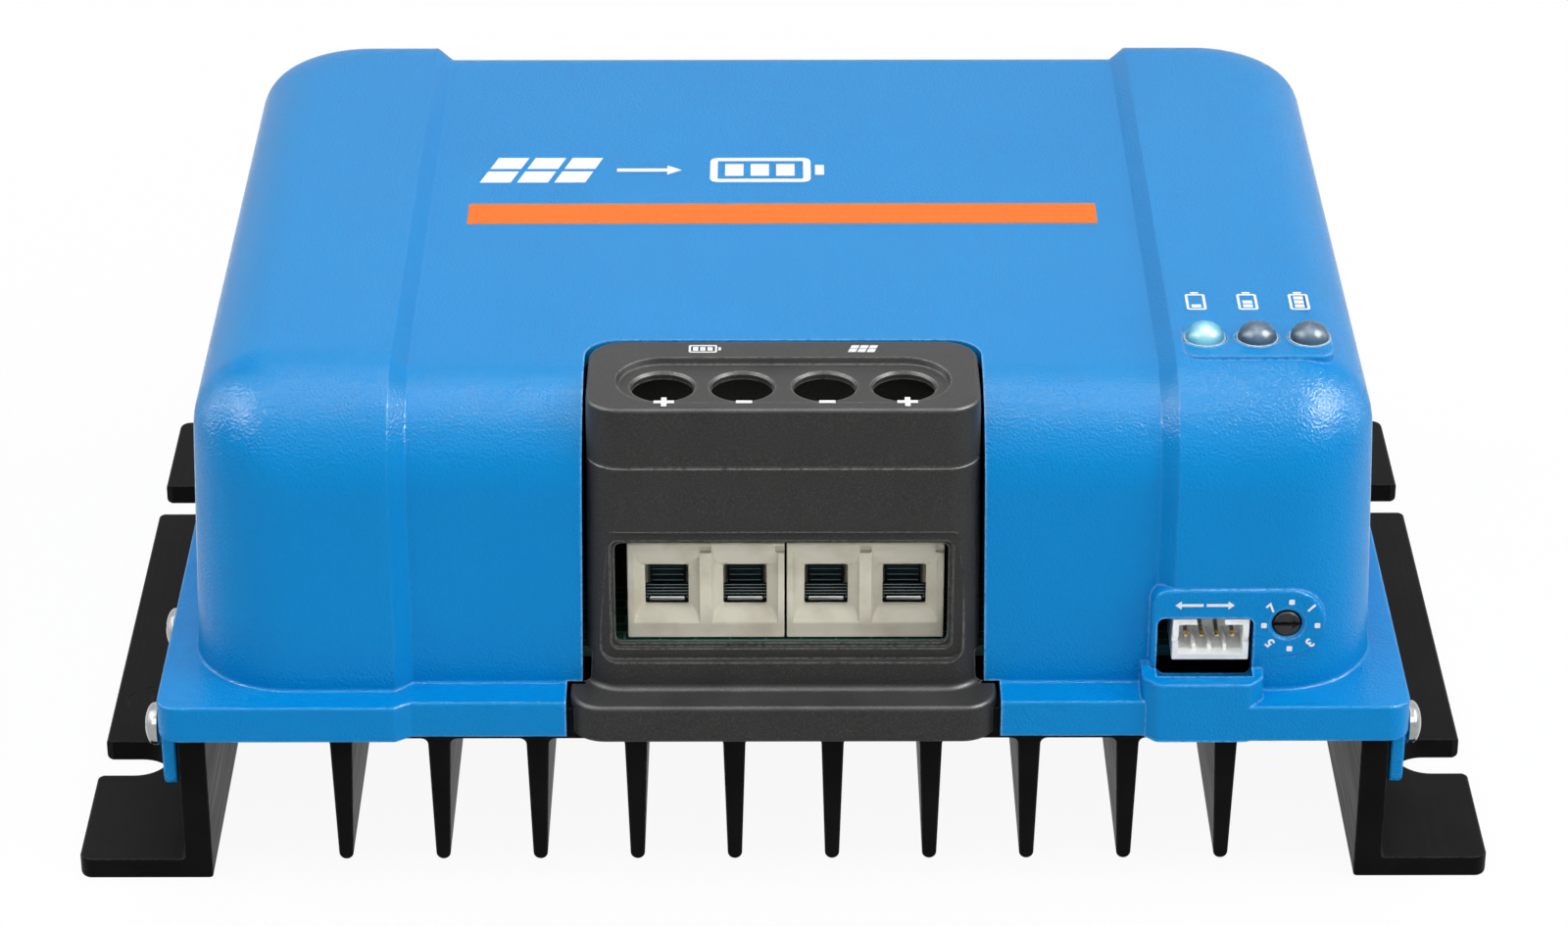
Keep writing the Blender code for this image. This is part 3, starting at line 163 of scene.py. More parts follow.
def add_world():
    world = bpy.data.worlds.new("studio")
    world.use_nodes = True
    tree = world.node_tree
    fill = tree.nodes["Background"]
    fill.inputs["Color"].default_value = WHITE
    fill.inputs["Strength"].default_value = WORLD_FILL
    white = add_node(tree, "ShaderNodeBackground", {"Color": WHITE, "Strength": 1.0})
    mix_to_output(tree, seen_or_mirrored(tree), fill, white, "World Output")
    bpy.context.scene.world = world


def add_floor():
    """A large pale square whose own glow grows to full white away from the object."""
    mesh = bpy.data.meshes.new("floor")
    corners = [(x * FLOOR_SIDE, y * FLOOR_SIDE, FLOOR_LEVEL) for x, y in ((-1, -1), (1, -1), (1, 1), (-1, 1))]
    mesh.from_pydata(corners, [], [(0, 1, 2, 3)])
    floor = bpy.data.objects.new("floor", mesh)
    bpy.context.scene.collection.objects.link(floor)
    material, tree, matt = new_finish("pale_floor", FLOOR_GREY, 0.9, specular=0.0)
    spread = map_range(tree, distance(tree, object_place(tree)), GLOW_NEAR, GLOW_FAR, FLOOR_GLOW, 1.0)
    share = add_node(tree, "ShaderNodeMath", {0: seen_or_mirrored(tree), 1: spread}, operation="MULTIPLY")
    mix_to_output(tree, share.outputs[0], matt, add_node(tree, "ShaderNodeEmission"), "Material Output")
    mesh.materials.append(material)


bpy.context.scene.view_settings.view_transform = "Standard"
add_world()
add_floor()
print("world fill:", WORLD_FILL, "floor glow:", FLOOR_GLOW)

# %% Lamps
AIM_HEIGHT = 0.04
STRIP_WIDTH = 0.50
# Each strip has an angle above the front horizon, a depth, a power and the strength of its sheen.
STRIPS = ((126, 0.50, 1.0, 15.0), (103, 0.10, 1.5, 6.5), (84, 0.10, 2.2, 6.5), (66, 0.10, 1.8, 5.0))


def add_softbox(name, place, width, depth, power):
    data = bpy.data.lights.new(name, "AREA")
    data.shape = "RECTANGLE"
    data.size = width
    data.size_y = depth
    data.energy = power
    lamp = bpy.data.objects.new(name, data)
    lamp.location = place
    aim = Vector((0.0, 0.0, AIM_HEIGHT)) - Vector(place)
    lamp.rotation_euler = aim.to_track_quat("-Z", "Y").to_euler()
    bpy.context.scene.collection.objects.link(lamp)
    return lamp


def add_sheen_softbox(name, place, width, depth, power, sheen):
    """Two softboxes in one place: one lights the colours, and a stronger one is only mirrored."""
    add_softbox(name, place, width, depth, power).visible_glossy = False
    add_softbox(name + "_sheen", place, width, depth, power * sheen).visible_diffuse = False


for rise, depth, power, sheen in STRIPS:
    a = math.radians(rise)
    place = (0.0, -math.cos(a), AIM_HEIGHT + math.sin(a))
    add_sheen_softbox("overhead_strip", place, STRIP_WIDTH, depth, power, sheen)
add_softbox("front_softbox", (0.0, -1.00, 0.85), 1.60, 0.70, 6.6)
add_softbox("key_softbox", (0.85, -0.40, 0.45), 0.40, 0.40, 3.0)
for side in (-1, 1):
    add_sheen_softbox("corner_softbox", (side * 0.65, -0.20, 0.76), 0.60, 0.54, 2.3, 40.0)
    add_sheen_softbox("side_softbox", (side * 0.92, 0.20, 0.30), 0.25, 0.60, 1.9, 10.0)
print("lamps:", len(bpy.data.lights))

# %% [markdown]
# ## Helpers for finishes
# Each finish is a Principled shader whose colour, roughness or bump comes from noise on Object coordinates.
# An image could do this too, but noise stays sharp at any distance and needs no unwrapping. Edges are
# painted lighter, partly as wear and partly as a painted highlight where an edge would catch the lamps: a
# Bevel node rounds the normal near an edge, and the lighter colour lies where that differs from the true one.

# %% Helpers for colour, gloss and bumps
MIDDLE_NOISE = (0.3, 0.7)
GRAZED = (0.56, 0.80)


def grain(tree, size, detail=2.0, stretch=(1.0, 1.0, 1.0)):
    """Noise whose lumps are about this many millimetres across, drawn out along an axis by stretch."""
    scale = [1.0 / share for share in stretch]
    mapping = add_node(tree, "ShaderNodeMapping", {"Vector": object_place(tree), "Scale": scale})
    noise = {"Vector": mapping.outputs["Vector"], "Scale": 1.0 / (size * MM), "Detail": detail}
    return add_node(tree, "ShaderNodeTexNoise", noise).outputs["Fac"]


def colour_stops(tree, value, stops):
    """Colours along a value, from (position, colour) stops."""
    ramp = add_node(tree, "ShaderNodeValToRGB", {"Fac": value})
    elements = ramp.color_ramp.elements
    while len(elements) < len(stops):
        elements.new(0.5)
    for element, (position, colour) in zip(elements, stops):
        element.position = position
        element.color = (*colour, 1.0)
    return ramp.outputs["Color"]


def colour_range(tree, value, shader, stops):
    tree.links.new(colour_stops(tree, value, stops), shader.inputs["Base Color"])


def rough_range(tree, value, shader, low, high):
    """Drive the roughness between two values by the middle of a noise."""
    tree.links.new(map_range(tree, value, *MIDDLE_NOISE, low, high), shader.inputs["Roughness"])


def dull_when_grazed(tree, shader, level, low):
    """Let the gloss fall where the surface turns away, as a grained surface does."""
    facing = add_node(tree, "ShaderNodeLayerWeight").outputs["Facing"]
    tree.links.new(map_range(tree, facing, *GRAZED, level, low), shader.inputs["Specular IOR Level"])


def relief(tree, shader, layers):
    """Chain bumps of (height, depth in mm) and join them to the shader's normal."""
    normal = None
    for height, depth in layers:
        bump = add_node(tree, "ShaderNodeBump", {"Strength": 1.0, "Distance": depth * MM, "Height": height})
        if normal:
            tree.links.new(normal, bump.inputs["Normal"])
        normal = bump.outputs["Normal"]
    tree.links.new(normal, shader.inputs["Normal"])


print("helpers ready: grain, colour_range, rough_range, dull_when_grazed, relief")

# %% Helpers for worn edges and painted edge highlights
EDGE_SPAN = 0.125
PATCH_SIZE = 0.6
PATCH_NOISE = (0.26, 0.58)


def wear_and_highlight_edges(tree, shader, radius, colour, share, likest=0.985):
    """Let the base colour run to another one in patches along edges tighter than a radius.
    The other colour stands for wear, and for a painted highlight where an edge would catch the lamps.

    The mask starts where the rounded and the true normal are less alike than likest, so a lower value
    leaves out the blunter edges. The mask is returned."""
    soft = add_node(tree, "ShaderNodeBevel", {"Radius": radius * MM}, samples=4).outputs["Normal"]
    true = add_node(tree, "ShaderNodeNewGeometry").outputs["Normal"]
    likeness = add_node(tree, "ShaderNodeVectorMath", {0: soft, 1: true}, operation="DOT_PRODUCT")
    edge = map_range(tree, likeness.outputs["Value"], likest, likest - EDGE_SPAN, 0.0, share)
    patch = map_range(tree, grain(tree, PATCH_SIZE), *PATCH_NOISE)
    mask = add_node(tree, "ShaderNodeMath", {0: edge, 1: patch}, operation="MULTIPLY").outputs[0]
    base = shader.inputs["Base Color"]
    colours = {0: mask, 6: base.links[0].from_socket, 7: (*colour, 1.0)}
    tree.links.new(add_node(tree, "ShaderNodeMix", colours, data_type="RGBA").outputs[2], base)
    return mask


def polish_edges(tree, shader, mask, rise):
    """Raise the gloss by this much along the masked edges, which are also painted lighter, where the coat is
    thin and smooth.
    """
    level = shader.inputs["Specular IOR Level"]
    terms = {0: mask, 1: rise, 2: level.links[0].from_socket}
    tree.links.new(add_node(tree, "ShaderNodeMath", terms, operation="MULTIPLY_ADD").outputs[0], level)


print("helpers ready: wear_and_highlight_edges, polish_edges")

# %% [markdown]
# ## Blue powder coat
# Powder is baked on the casting and flows into fine dimples, like the skin of an orange. Two layers of
# noise, with lumps of about a third of a millimetre and one and a half millimetres, give that skin. It breaks
# the lamps' reflections into small glints where the surface curves and stays quiet where it is flat.

# %% Blue powder coat


def make_powder_coat():
    material, tree, shader = new_finish("blue_powder_coat", (0.0, 0.206, 0.530), 0.19, specular=0.10)
    fine = grain(tree, 0.32, 0.5)
    wide = grain(tree, 1.6, 1.0)
    shade = grain(tree, 30.0, 2.0)
    colour_range(tree, shade, shader, [(0.25, (0.0, 0.200, 0.518)), (0.75, (0.0, 0.212, 0.542))])
    rough_range(tree, fine, shader, 0.13, 0.20)
    dull_when_grazed(tree, shader, 0.10, 0.02)
    relief(tree, shader, [(wide, 0.018), (fine, 0.10)])
    # The light blue along the edges is a painted highlight, where the coat's rounded edges would catch the
    # lamps.
    mask = wear_and_highlight_edges(tree, shader, 0.6, (0.20, 0.45, 0.78), 1.0, 0.93)
    polish_edges(tree, shader, mask, 0.25)
    return material


powder_coat = make_powder_coat()
print("finish:", powder_coat.name)

# %% [markdown]
# ## Black anodised aluminium
# The heat sink is a saw-cut extrusion, dyed black. It has fine lines along its length from the die and a
# satin surface that turns grey only where it is seen at a low angle.

# %% Black anodised aluminium


def make_anodised():
    material, tree, shader = new_finish("black_anodised", (0.004, 0.004, 0.004), 0.40, specular=0.03)
    lines = grain(tree, 0.35, 2.0, (1.0, 60.0, 1.0))
    cloud = grain(tree, 9.0, 3.0)
    colour_range(tree, cloud, shader, [(0.3, (0.0028, 0.0028, 0.0030)), (0.7, (0.0052, 0.0051, 0.0050))])
    rough_range(tree, lines, shader, 0.34, 0.50)
    relief(tree, shader, [(lines, 0.010)])
    # The brownish light along the edges is partly wear and partly a painted highlight.
    wear_and_highlight_edges(tree, shader, 0.35, (0.050, 0.045, 0.036), 0.7)
    return material


anodised = make_anodised()
print("finish:", anodised.name)

# %% [markdown]
# ## Dark grey plastic
# The hood is moulded in an eroded tool, which leaves a very fine matt grain with lighter specks.

# %% Dark grey plastic


def make_hood_plastic():
    material, tree, shader = new_finish("dark_grey_plastic", (0.028, 0.028, 0.027), 0.42, specular=0.14)
    specks = grain(tree, 0.22, 2.0)
    cloud = grain(tree, 6.0, 2.0)
    colour_range(tree, specks, shader, [(0.30, (0.018, 0.018, 0.018)), (0.62, (0.028, 0.028, 0.027)),
                                        (0.74, (0.048, 0.047, 0.045))])
    rough_range(tree, cloud, shader, 0.36, 0.46)
    relief(tree, shader, [(specks, 0.018)])
    # The light grey along the edges is partly wear and partly a painted highlight where they catch the lamps.
    wear_and_highlight_edges(tree, shader, 0.4, (0.20, 0.20, 0.19), 0.8)
    return material


hood_plastic = make_hood_plastic()
print("finish:", hood_plastic.name)

# %% [markdown]
# ## Metals
# The screws are zinc plated, and the cages and contact bars have a passivated surface, set much darker than
# the screws: that darkness is painted shade of the mouths they sit deep in. Polished metal alone would look
# like chrome, so each has a little grain and uneven gloss.

# %% Metals


def make_metal(name, colour, low, high, size, stretch=(1.0, 1.0, 1.0), depth=0.006):
    material, tree, shader = new_finish(name, colour, low, metallic=1.0)
    lines = grain(tree, size, 3.0, stretch)
    dim = tuple(0.80 * share for share in colour)
    colour_range(tree, lines, shader, [(0.3, dim), (0.65, colour)])
    rough_range(tree, lines, shader, low, high)
    relief(tree, shader, [(lines, depth)])
    return material


zinc = make_metal("zinc_plate", (0.36, 0.37, 0.37), 0.09, 0.18, 1.4, depth=0.0015)
# The cage and contact colours are dark as painted shade inside the terminal mouths.
cage_steel = make_metal("cage_steel", (0.085, 0.105, 0.105), 0.22, 0.42, 0.3, (6.0, 1.0, 1.0))
contact_metal_painted_shade = make_metal("passivated_contact", (0.055, 0.085, 0.088), 0.26, 0.44, 0.4, (5.0, 1.0, 1.0))
nickel_brass = make_metal("nickel_brass", (0.66, 0.58, 0.42), 0.22, 0.40, 0.5)
print("finishes:", zinc.name, cage_steel.name, contact_metal_painted_shade.name, nickel_brass.name)

# %% [markdown]
# ## Moulded nylon and small plastics
# The terminal blocks are aged beige nylon with faint brown dust, the header is off-white and a little
# glossy, and the selector's rotor is black with scuffs.

# %% Moulded nylon


def make_moulded(name, dark, light, roughness, size, specular=0.2, depth=0.012):
    material, tree, shader = new_finish(name, light, roughness, specular=specular)
    cloud = grain(tree, size, 4.0)
    fine = grain(tree, 0.3, 2.0)
    colour_range(tree, cloud, shader, [(0.28, dark), (0.55, light)])
    rough_range(tree, fine, shader, roughness - 0.07, roughness + 0.07)
    relief(tree, shader, [(fine, depth)])
    return material


beige_nylon = make_moulded("beige_nylon", (0.62, 0.58, 0.46), (0.74, 0.71, 0.59), 0.46, 5.0, 0.12)
white_nylon = make_moulded("white_nylon", (0.78, 0.78, 0.75), (0.87, 0.88, 0.86), 0.40, 4.0)
black_plastic = make_moulded("black_plastic", (0.010, 0.010, 0.011), (0.022, 0.022, 0.023), 0.42, 1.2)
print("finishes:", beige_nylon.name, white_nylon.name, black_plastic.name)

# %% [markdown]
# ## Mesh helpers
# Most pieces here are lofts: an outline is drawn flat, repeated at several heights, and skinned. Drawing the
# first and last outlines a little smaller gives every edge a real rounding, which catches the light as a
# moulded edge does. A Bevel modifier could do it, but it fails on outlines that are cut by Booleans.

# %% Outlines


def arc(cx, cy, radius, start, stop, steps):
    angles = [math.radians(start + (stop - start) * i / steps) for i in range(steps + 1)]
    return [(cx + radius * math.cos(a), cy + radius * math.sin(a)) for a in angles]


def ring(cx, cy, radius, steps=40):
    return arc(cx, cy, radius, 0, 360, steps)[:-1]


def rounded(left, right, low, high, radius, steps=8):
    points = arc(left + radius, low + radius, radius, 180, 270, steps)
    points += arc(right - radius, low + radius, radius, 270, 360, steps)
    points += arc(right - radius, high - radius, radius, 0, 90, steps)
    points += arc(left + radius, high - radius, radius, 90, 180, steps)
    return points


def box(left, right, low, high):
    return [(left, low), (right, low), (right, high), (left, high)]


def quarter(radius, steps):
    """(inward, along) offsets of a rounded edge, from its face to its side."""
    if not radius:
        return [(0.0, 0.0)]
    angles = [math.radians(90 * i / steps) for i in range(steps + 1)]
    return [(radius * (1 - math.sin(a)), radius * (1 - math.cos(a))) for a in angles]


def dome(radius, base, rise, stop, steps):
    """(radius, height) pairs of a dome's profile, up to an angle."""
    angles = [math.radians(stop * i / steps) for i in range(steps + 1)]
    return [(radius * math.cos(a), base + rise * math.sin(a)) for a in angles]


print("outlines ready: arc, ring, rounded, box, quarter, dome")

# %% Outlines made smaller and softer


def inset(points, amount):
    """Move every side of a closed outline inwards, with the outline running anticlockwise."""
    result = []
    for before, here, after in zip([points[-1]] + points[:-1], points, points[1:] + points[:1]):
        one = Vector((here[0] - before[0], here[1] - before[1])).normalized()
        two = Vector((after[0] - here[0], after[1] - here[1])).normalized()
        lean = Vector((-one.y - two.y, one.x + two.x)) / max(1.0 + one.dot(two), 0.2)
        result.append((here[0] + lean.x * amount, here[1] + lean.y * amount))
    return result


def soften(points, radius, steps=3):
    """Round every corner of a polygon with a short arc."""
    result = []
    for before, here, after in zip([points[-1]] + points[:-1], points, points[1:] + points[:1]):
        corner = Vector(here)
        one = (Vector(before) - corner).normalized() * radius
        two = (Vector(after) - corner).normalized() * radius
        for i in range(steps + 1):
            t = i / steps
            spot = corner + one * (1 - t) ** 2 + two * t ** 2
            result.append((spot.x, spot.y))
    return result


print("outlines ready: inset, soften")

# %% Solids from outlines


def in_space(u, v, w, axis):
    """A point of an outline that is drawn across an axis, at a height along it."""
    return {"X": (w, u, v), "Y": (u, w, v), "Z": (u, v, w)}[axis]


def skin(bm, rows):
    """Join closed rows of vertices, one after the other, with quads."""
    for near, far in zip(rows, rows[1:]):
        for i in range(len(near)):
            j = (i + 1) % len(near)
            bm.faces.new((near[i], near[j], far[j], far[i]))


def loft(levels, axis="Z", bm=None):
    """Skin (outline, height) levels of equal point count and close both ends."""
    bm = bm or bmesh.new()
    rows = [[bm.verts.new(in_space(u, v, height, axis)) for u, v in outline] for outline, height in levels]
    bm.faces.new(rows[0][::-1])
    bm.faces.new(rows[-1])
    skin(bm, rows)
    return bm


def soft_prism(outline, low, high, axis="Z", low_edge=0.0, high_edge=0.0, steps=4, bm=None):
    """A prism whose low and high rims are rounded by these radii."""
    levels = [(inset(outline, inward), low + rise) for inward, rise in quarter(low_edge, steps)]
    levels += [(inset(outline, inward), high - drop) for inward, drop in quarter(high_edge, steps)[::-1]]
    return loft(levels, axis, bm)


def turned(cx, cy, profile, steps=40, axis="Z", bm=None):
    """A turned piece from (radius, height) pairs."""
    return loft([(ring(cx, cy, radius, steps), height) for radius, height in profile], axis, bm)


def hoop(cx, cy, section, bm, steps=48):
    """A closed hoop from the (radius, height) corners of its section."""
    rows = [[bm.verts.new((u, v, z)) for u, v in ring(cx, cy, radius, steps)] for radius, z in section]
    skin(bm, rows + rows[:1])


print("solids ready: loft, soft_prism, turned, hoop")

# %% [markdown]
# ## From mesh to piece
# A piece is made in millimetres, cut and joined with exact Booleans, and then settled: sharp edges are
# marked by angle, weighted normals keep flat faces flat beside roundings, and the mesh is scaled to metres.
# The object itself stays at the origin, so the noise on it never slides.

# %% From mesh to piece


def new_piece(name, bm, material=None):
    bmesh.ops.recalc_face_normals(bm, faces=bm.faces)
    mesh = bpy.data.meshes.new(name)
    bm.to_mesh(mesh)
    bm.free()
    if material:
        mesh.materials.append(material)
    obj = bpy.data.objects.new(name, mesh)
    bpy.context.scene.collection.objects.link(obj)
    return obj


def bake(obj):
    """Turn what the modifiers show into the object's own mesh, and drop them."""
    bpy.context.view_layer.update()
    graph = bpy.context.evaluated_depsgraph_get()
    mesh = bpy.data.meshes.new_from_object(obj.evaluated_get(graph), depsgraph=graph)
    obj.modifiers.clear()
    obj.data = mesh
    mesh.name = obj.name


def combine(obj, bm, operation):
    tool = new_piece("tool", bm)
    modifier = obj.modifiers.new("combine", "BOOLEAN")
    modifier.operation = operation
    modifier.solver = "EXACT"
    modifier.object = tool
    bake(obj)
    bpy.data.objects.remove(tool)


def cut(obj, bm):
    combine(obj, bm, "DIFFERENCE")


def join(obj, bm):
    combine(obj, bm, "UNION")


def settle(obj, body, replaced=(), angle=32):
    """Shade, scale to metres, and hang on a body in place of its CAD nodes."""
    obj.data.shade_smooth()
    obj.data.set_sharp_from_angle(angle=math.radians(angle))
    weights = obj.modifiers.new("weights", "WEIGHTED_NORMAL")
    weights.keep_sharp = True
    bake(obj)
    obj.data.transform(Matrix.Scale(MM, 4))
    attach(obj, body)
    if replaced:
        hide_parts(*replaced)
    print("piece:", obj.name, "faces:", len(obj.data.polygons))
    return obj


print("helpers ready: cut, join, settle")

# %% [markdown]
# ## Geometry Nodes for rows and sets
# Fins, ridges, ribs and pins are one shape repeated at an even step. A node tree lays the copies on a line
# of points, joins them to the piece they stand on, and makes them real. The screws and contact bars need
# their own places, so a second tree sets a copy on each point of a small mesh and turns it by an attribute.

# %% Node trees for rows and sets


def new_tree(name, **inputs):
    """An empty tree with a geometry input, more inputs by name and kind, and a geometry output."""
    tree = bpy.data.node_groups.new(name, "GeometryNodeTree")
    for label, kind in [("Geometry", "Geometry"), *inputs.items()]:
        tree.interface.new_socket(label, in_out="INPUT", socket_type="NodeSocket" + kind)
    tree.interface.new_socket("Geometry", in_out="OUTPUT", socket_type="NodeSocketGeometry")
    return tree, add_node(tree, "NodeGroupInput").outputs


def end_tree(tree, given, geometry):
    """Make the instances real, give them the material, and hand them out."""
    real = add_node(tree, "GeometryNodeRealizeInstances", {"Geometry": geometry}).outputs["Geometry"]
    paint = add_node(tree, "GeometryNodeSetMaterial", {"Geometry": real, "Material": given["Material"]})
    add_node(tree, "NodeGroupOutput", {"Geometry": paint.outputs["Geometry"]})
    return tree


def make_row_tree():
    """Base geometry plus copies on a straight row."""
    tree, given = new_tree("row_of_copies", Copy="Object", Count="Int", Start="Vector", Step="Vector",
                           Material="Material")
    source = add_node(tree, "GeometryNodeObjectInfo", {"Object": given["Copy"]})
    places = {"Count": given["Count"], "Start Location": given["Start"], "Offset": given["Step"]}
    line = add_node(tree, "GeometryNodeMeshLine", places, mode="OFFSET")
    copies = {"Points": line.outputs["Mesh"], "Instance": source.outputs["Geometry"]}
    lay = add_node(tree, "GeometryNodeInstanceOnPoints", copies)
    both = add_node(tree, "GeometryNodeJoinGeometry", {"Geometry": lay.outputs["Instances"]})
    tree.links.new(given["Geometry"], both.inputs["Geometry"])
    return end_tree(tree, given, both.outputs["Geometry"])


def make_set_tree():
    """A turned copy on each point of the base mesh."""
    tree, given = new_tree("copies_on_points", Copy="Object", Material="Material")
    source = add_node(tree, "GeometryNodeObjectInfo", {"Object": given["Copy"]})
    turn = add_node(tree, "GeometryNodeInputNamedAttribute", {"Name": "turn"}, data_type="FLOAT_VECTOR")
    angle = add_node(tree, "FunctionNodeEulerToRotation", {"Euler": turn.outputs["Attribute"]})
    copies = {"Points": given["Geometry"], "Instance": source.outputs["Geometry"],
              "Rotation": angle.outputs["Rotation"]}
    lay = add_node(tree, "GeometryNodeInstanceOnPoints", copies)
    return end_tree(tree, given, lay.outputs["Instances"])


row_tree = make_row_tree()
set_tree = make_set_tree()
print("trees:", row_tree.name, set_tree.name)

# %% Rows and sets on pieces


def grow(obj, tree, copy, **values):
    """Run a node tree on a piece with its inputs set by socket identifier, and bake the result."""
    values["Copy"] = copy
    modifier = obj.modifiers.new("grow", "NODES")
    modifier.node_group = tree
    for item in tree.interface.items_tree:
        if item.in_out == "INPUT" and item.name in values:
            modifier[item.identifier] = values[item.name]
    bake(obj)
    bpy.data.objects.remove(copy)


def add_row(obj, shape, count, start, step, material):
    """Join a row of copies of a shape to a piece."""
    copy = new_piece("row_copy", shape, material)
    grow(obj, row_tree, copy, Count=count, Start=start, Step=step, Material=material)


def make_set(name, copy, places, turns, material):
    """A piece made of turned copies at these places."""
    bm = bmesh.new()
    for place in places:
        bm.verts.new(place)
    obj = new_piece(name, bm)
    turn = obj.data.attributes.new("turn", "FLOAT_VECTOR", "POINT")
    for item, angles in zip(turn.data, turns):
        item.vector = angles
    grow(obj, set_tree, copy, Material=material)
    return obj


def numbered(name, count):
    return ["%s_%d" % (name, i) for i in range(1, count + 1)]


print("helpers ready: add_row, make_set, numbered")

# %% [markdown]
# ## Cover shell
# The real cover is one casting: a lip round the heat sink, a tapered body with broad roundings at the top,
# and a middle panel set back by about two millimetres across the front, top and back. A cube with bevels
# could not give the different roundings of front, side and back, so the shell is a stack of rings. Each ring
# knows how far it has drawn in at its height, and how deep the middle panel lies along its normal.

# %% Cover sizes
LIP_HALF = 81.2
LIP_DEPTH = 65.0
LIP_TOP = 27.7
LIP_BOTTOM = 22.4
LIP_CORNER = 3.0
LIP_STEP = 1.4
LIP_EDGE = 0.5
REBATE_HALF = 79.2
REBATE_DEPTH = 62.5
REBATE_TOP = 26.3
REBATE_CORNER = 0.4
FOOT_FILLET = 0.5
BODY_HALF = 77.1
BODY_DEPTH = 60.7
BODY_DRAFT = 0.032
BODY_TOP = 69.8
BODY_WALL = 2.0
ROUND_FRONT = 14.0
ROUND_SIDE = 9.5
ROUND_BACK = 8.8
# Each corner has a radius at the foot and one at the top.
CORNER_FRONT = (13.0, 0.8)
CORNER_BACK = (11.0, 9.0)
PANEL_DEPTH = 2.1
PANEL_DEPTH_BACK = 1.7
PANEL_OUTER = 50.3
PANEL_INNER = 48.2
PANEL_SOFT = 0.06
PANEL_HALF_ANGLE = 22.5
CORNER_STEPS = 12
CHAIN_STEPS = 6
MIDDLE_STEPS = 28
SIDE_STEPS = 18
ROUND_STEPS = 20
WALL_STEPS = 8
print("cover:", 2 * LIP_HALF, "by", 2 * LIP_DEPTH)

# %% Rings of the cover


def panel_share(t):
    """0 on the raised side, 1 on the middle panel, with both corners of the slope rounded."""
    soft = PANEL_SOFT
    if t < soft:
        return max(t + soft, 0.0) ** 2 / (4 * soft)
    if t > 1 - soft:
        return 1 - max(1 + soft - t, 0.0) ** 2 / (4 * soft)
    return t


def panel_chain(left, right, shift=0.0):
    """(x, share) samples from left to right: raised side, slope, middle panel, slope, raised side."""
    soft = PANEL_SOFT
    outer = PANEL_OUTER - shift
    width = PANEL_OUTER - PANEL_INNER
    marks = [-soft, -soft / 2, 0, soft / 2, soft, 0.5, 1 - soft, 1 - soft / 2, 1, 1 + soft / 2, 1 + soft]
    slope = [(outer - width * t, panel_share(t)) for t in marks]
    edge = slope[0][0]
    inner = slope[-1][0]
    samples = [(left + (-edge - left) * i / CHAIN_STEPS, 0.0) for i in range(1, CHAIN_STEPS)]
    samples += [(-x, share) for x, share in slope]
    samples += [(-inner + 2 * inner * i / MIDDLE_STEPS, 1.0) for i in range(1, MIDDLE_STEPS)]
    samples += slope[::-1]
    samples += [(edge + (right - edge) * i / CHAIN_STEPS, 0.0) for i in range(1, CHAIN_STEPS)]
    return samples


def cover_ring(half, front, back, radii, z, front_step, back_step, shift=0.0):
    """A closed ring of points: front corner to corner, right side, back, left side."""
    near, far = radii
    ends = (-half + near, half - near)
    points = [(x, y, z) for x, y in arc(ends[0], front + near, near, 180, 270, CORNER_STEPS)]
    points += [(x, front + front_step[0] * s, z - front_step[1] * s) for x, s in panel_chain(*ends, shift)]
    points += [(x, y, z) for x, y in arc(ends[1], front + near, near, 270, 360, CORNER_STEPS)]
    length = back - far - front - near
    side = [front + near + length * i / (SIDE_STEPS + 1) for i in range(1, SIDE_STEPS + 1)]
    points += [(half, y, z) for y in side]
    ends = (-half + far, half - far)
    points += [(x, y, z) for x, y in arc(ends[1], back - far, far, 0, 90, CORNER_STEPS)]
    chain = panel_chain(*ends, shift)[::-1]
    points += [(x, back - back_step[0] * s, z - back_step[1] * s) for x, s in chain]
    points += [(x, y, z) for x, y in arc(ends[0], back - far, far, 90, 180, CORNER_STEPS)]
    points += [(-half, y, z) for y in reversed(side)]
    return points


def drawn_in(z, radius, top):
    """How far a rounding has drawn in at a height, and the sine of its slope there."""
    rise = min(max(z - (top - radius), 0.0), radius)
    return radius - math.sqrt(radius * radius - rise * rise), rise / radius


def body_ring(z, wall=0.0, flare=0.0):
    """Ring of the body at a height, moved in by a wall or out by the fillet at its foot."""
    top = BODY_TOP - wall
    front_in, front_sine = drawn_in(z, ROUND_FRONT - wall, top)
    side_in = drawn_in(z, ROUND_SIDE - wall, top)[0]
    back_in, back_sine = drawn_in(z, ROUND_BACK - wall, top)
    lean = BODY_DRAFT * (z - LIP_TOP) + wall - flare
    depth = BODY_DEPTH - lean
    share = max(front_in / (ROUND_FRONT - wall), side_in / (ROUND_SIDE - wall))
    radii = [(foot - wall + flare) * (1 - share) + head * share for foot, head in (CORNER_FRONT, CORNER_BACK)]
    front_step = (PANEL_DEPTH * math.sqrt(1 - front_sine ** 2), PANEL_DEPTH * front_sine)
    back_step = (PANEL_DEPTH_BACK * math.sqrt(1 - back_sine ** 2), PANEL_DEPTH_BACK * back_sine)
    shift = wall * math.tan(math.radians(PANEL_HALF_ANGLE))
    half = BODY_HALF - lean - side_in
    return cover_ring(half, front_in - depth, depth - back_in, radii, z, front_step, back_step, shift)


def lip_ring(z, inward):
    step = (LIP_STEP, 0.0)
    radius = LIP_CORNER - inward
    depth = LIP_DEPTH - inward
    return cover_ring(LIP_HALF - inward, -depth, depth, (radius, radius), z, step, step)


def rebate_ring(z):
    level = (0.0, 0.0)
    radii = (REBATE_CORNER, REBATE_CORNER)
    return cover_ring(REBATE_HALF, -REBATE_DEPTH, REBATE_DEPTH, radii, z, level, level)


print("points in a ring:", len(lip_ring(LIP_TOP, 0.0)))

# %% Shell


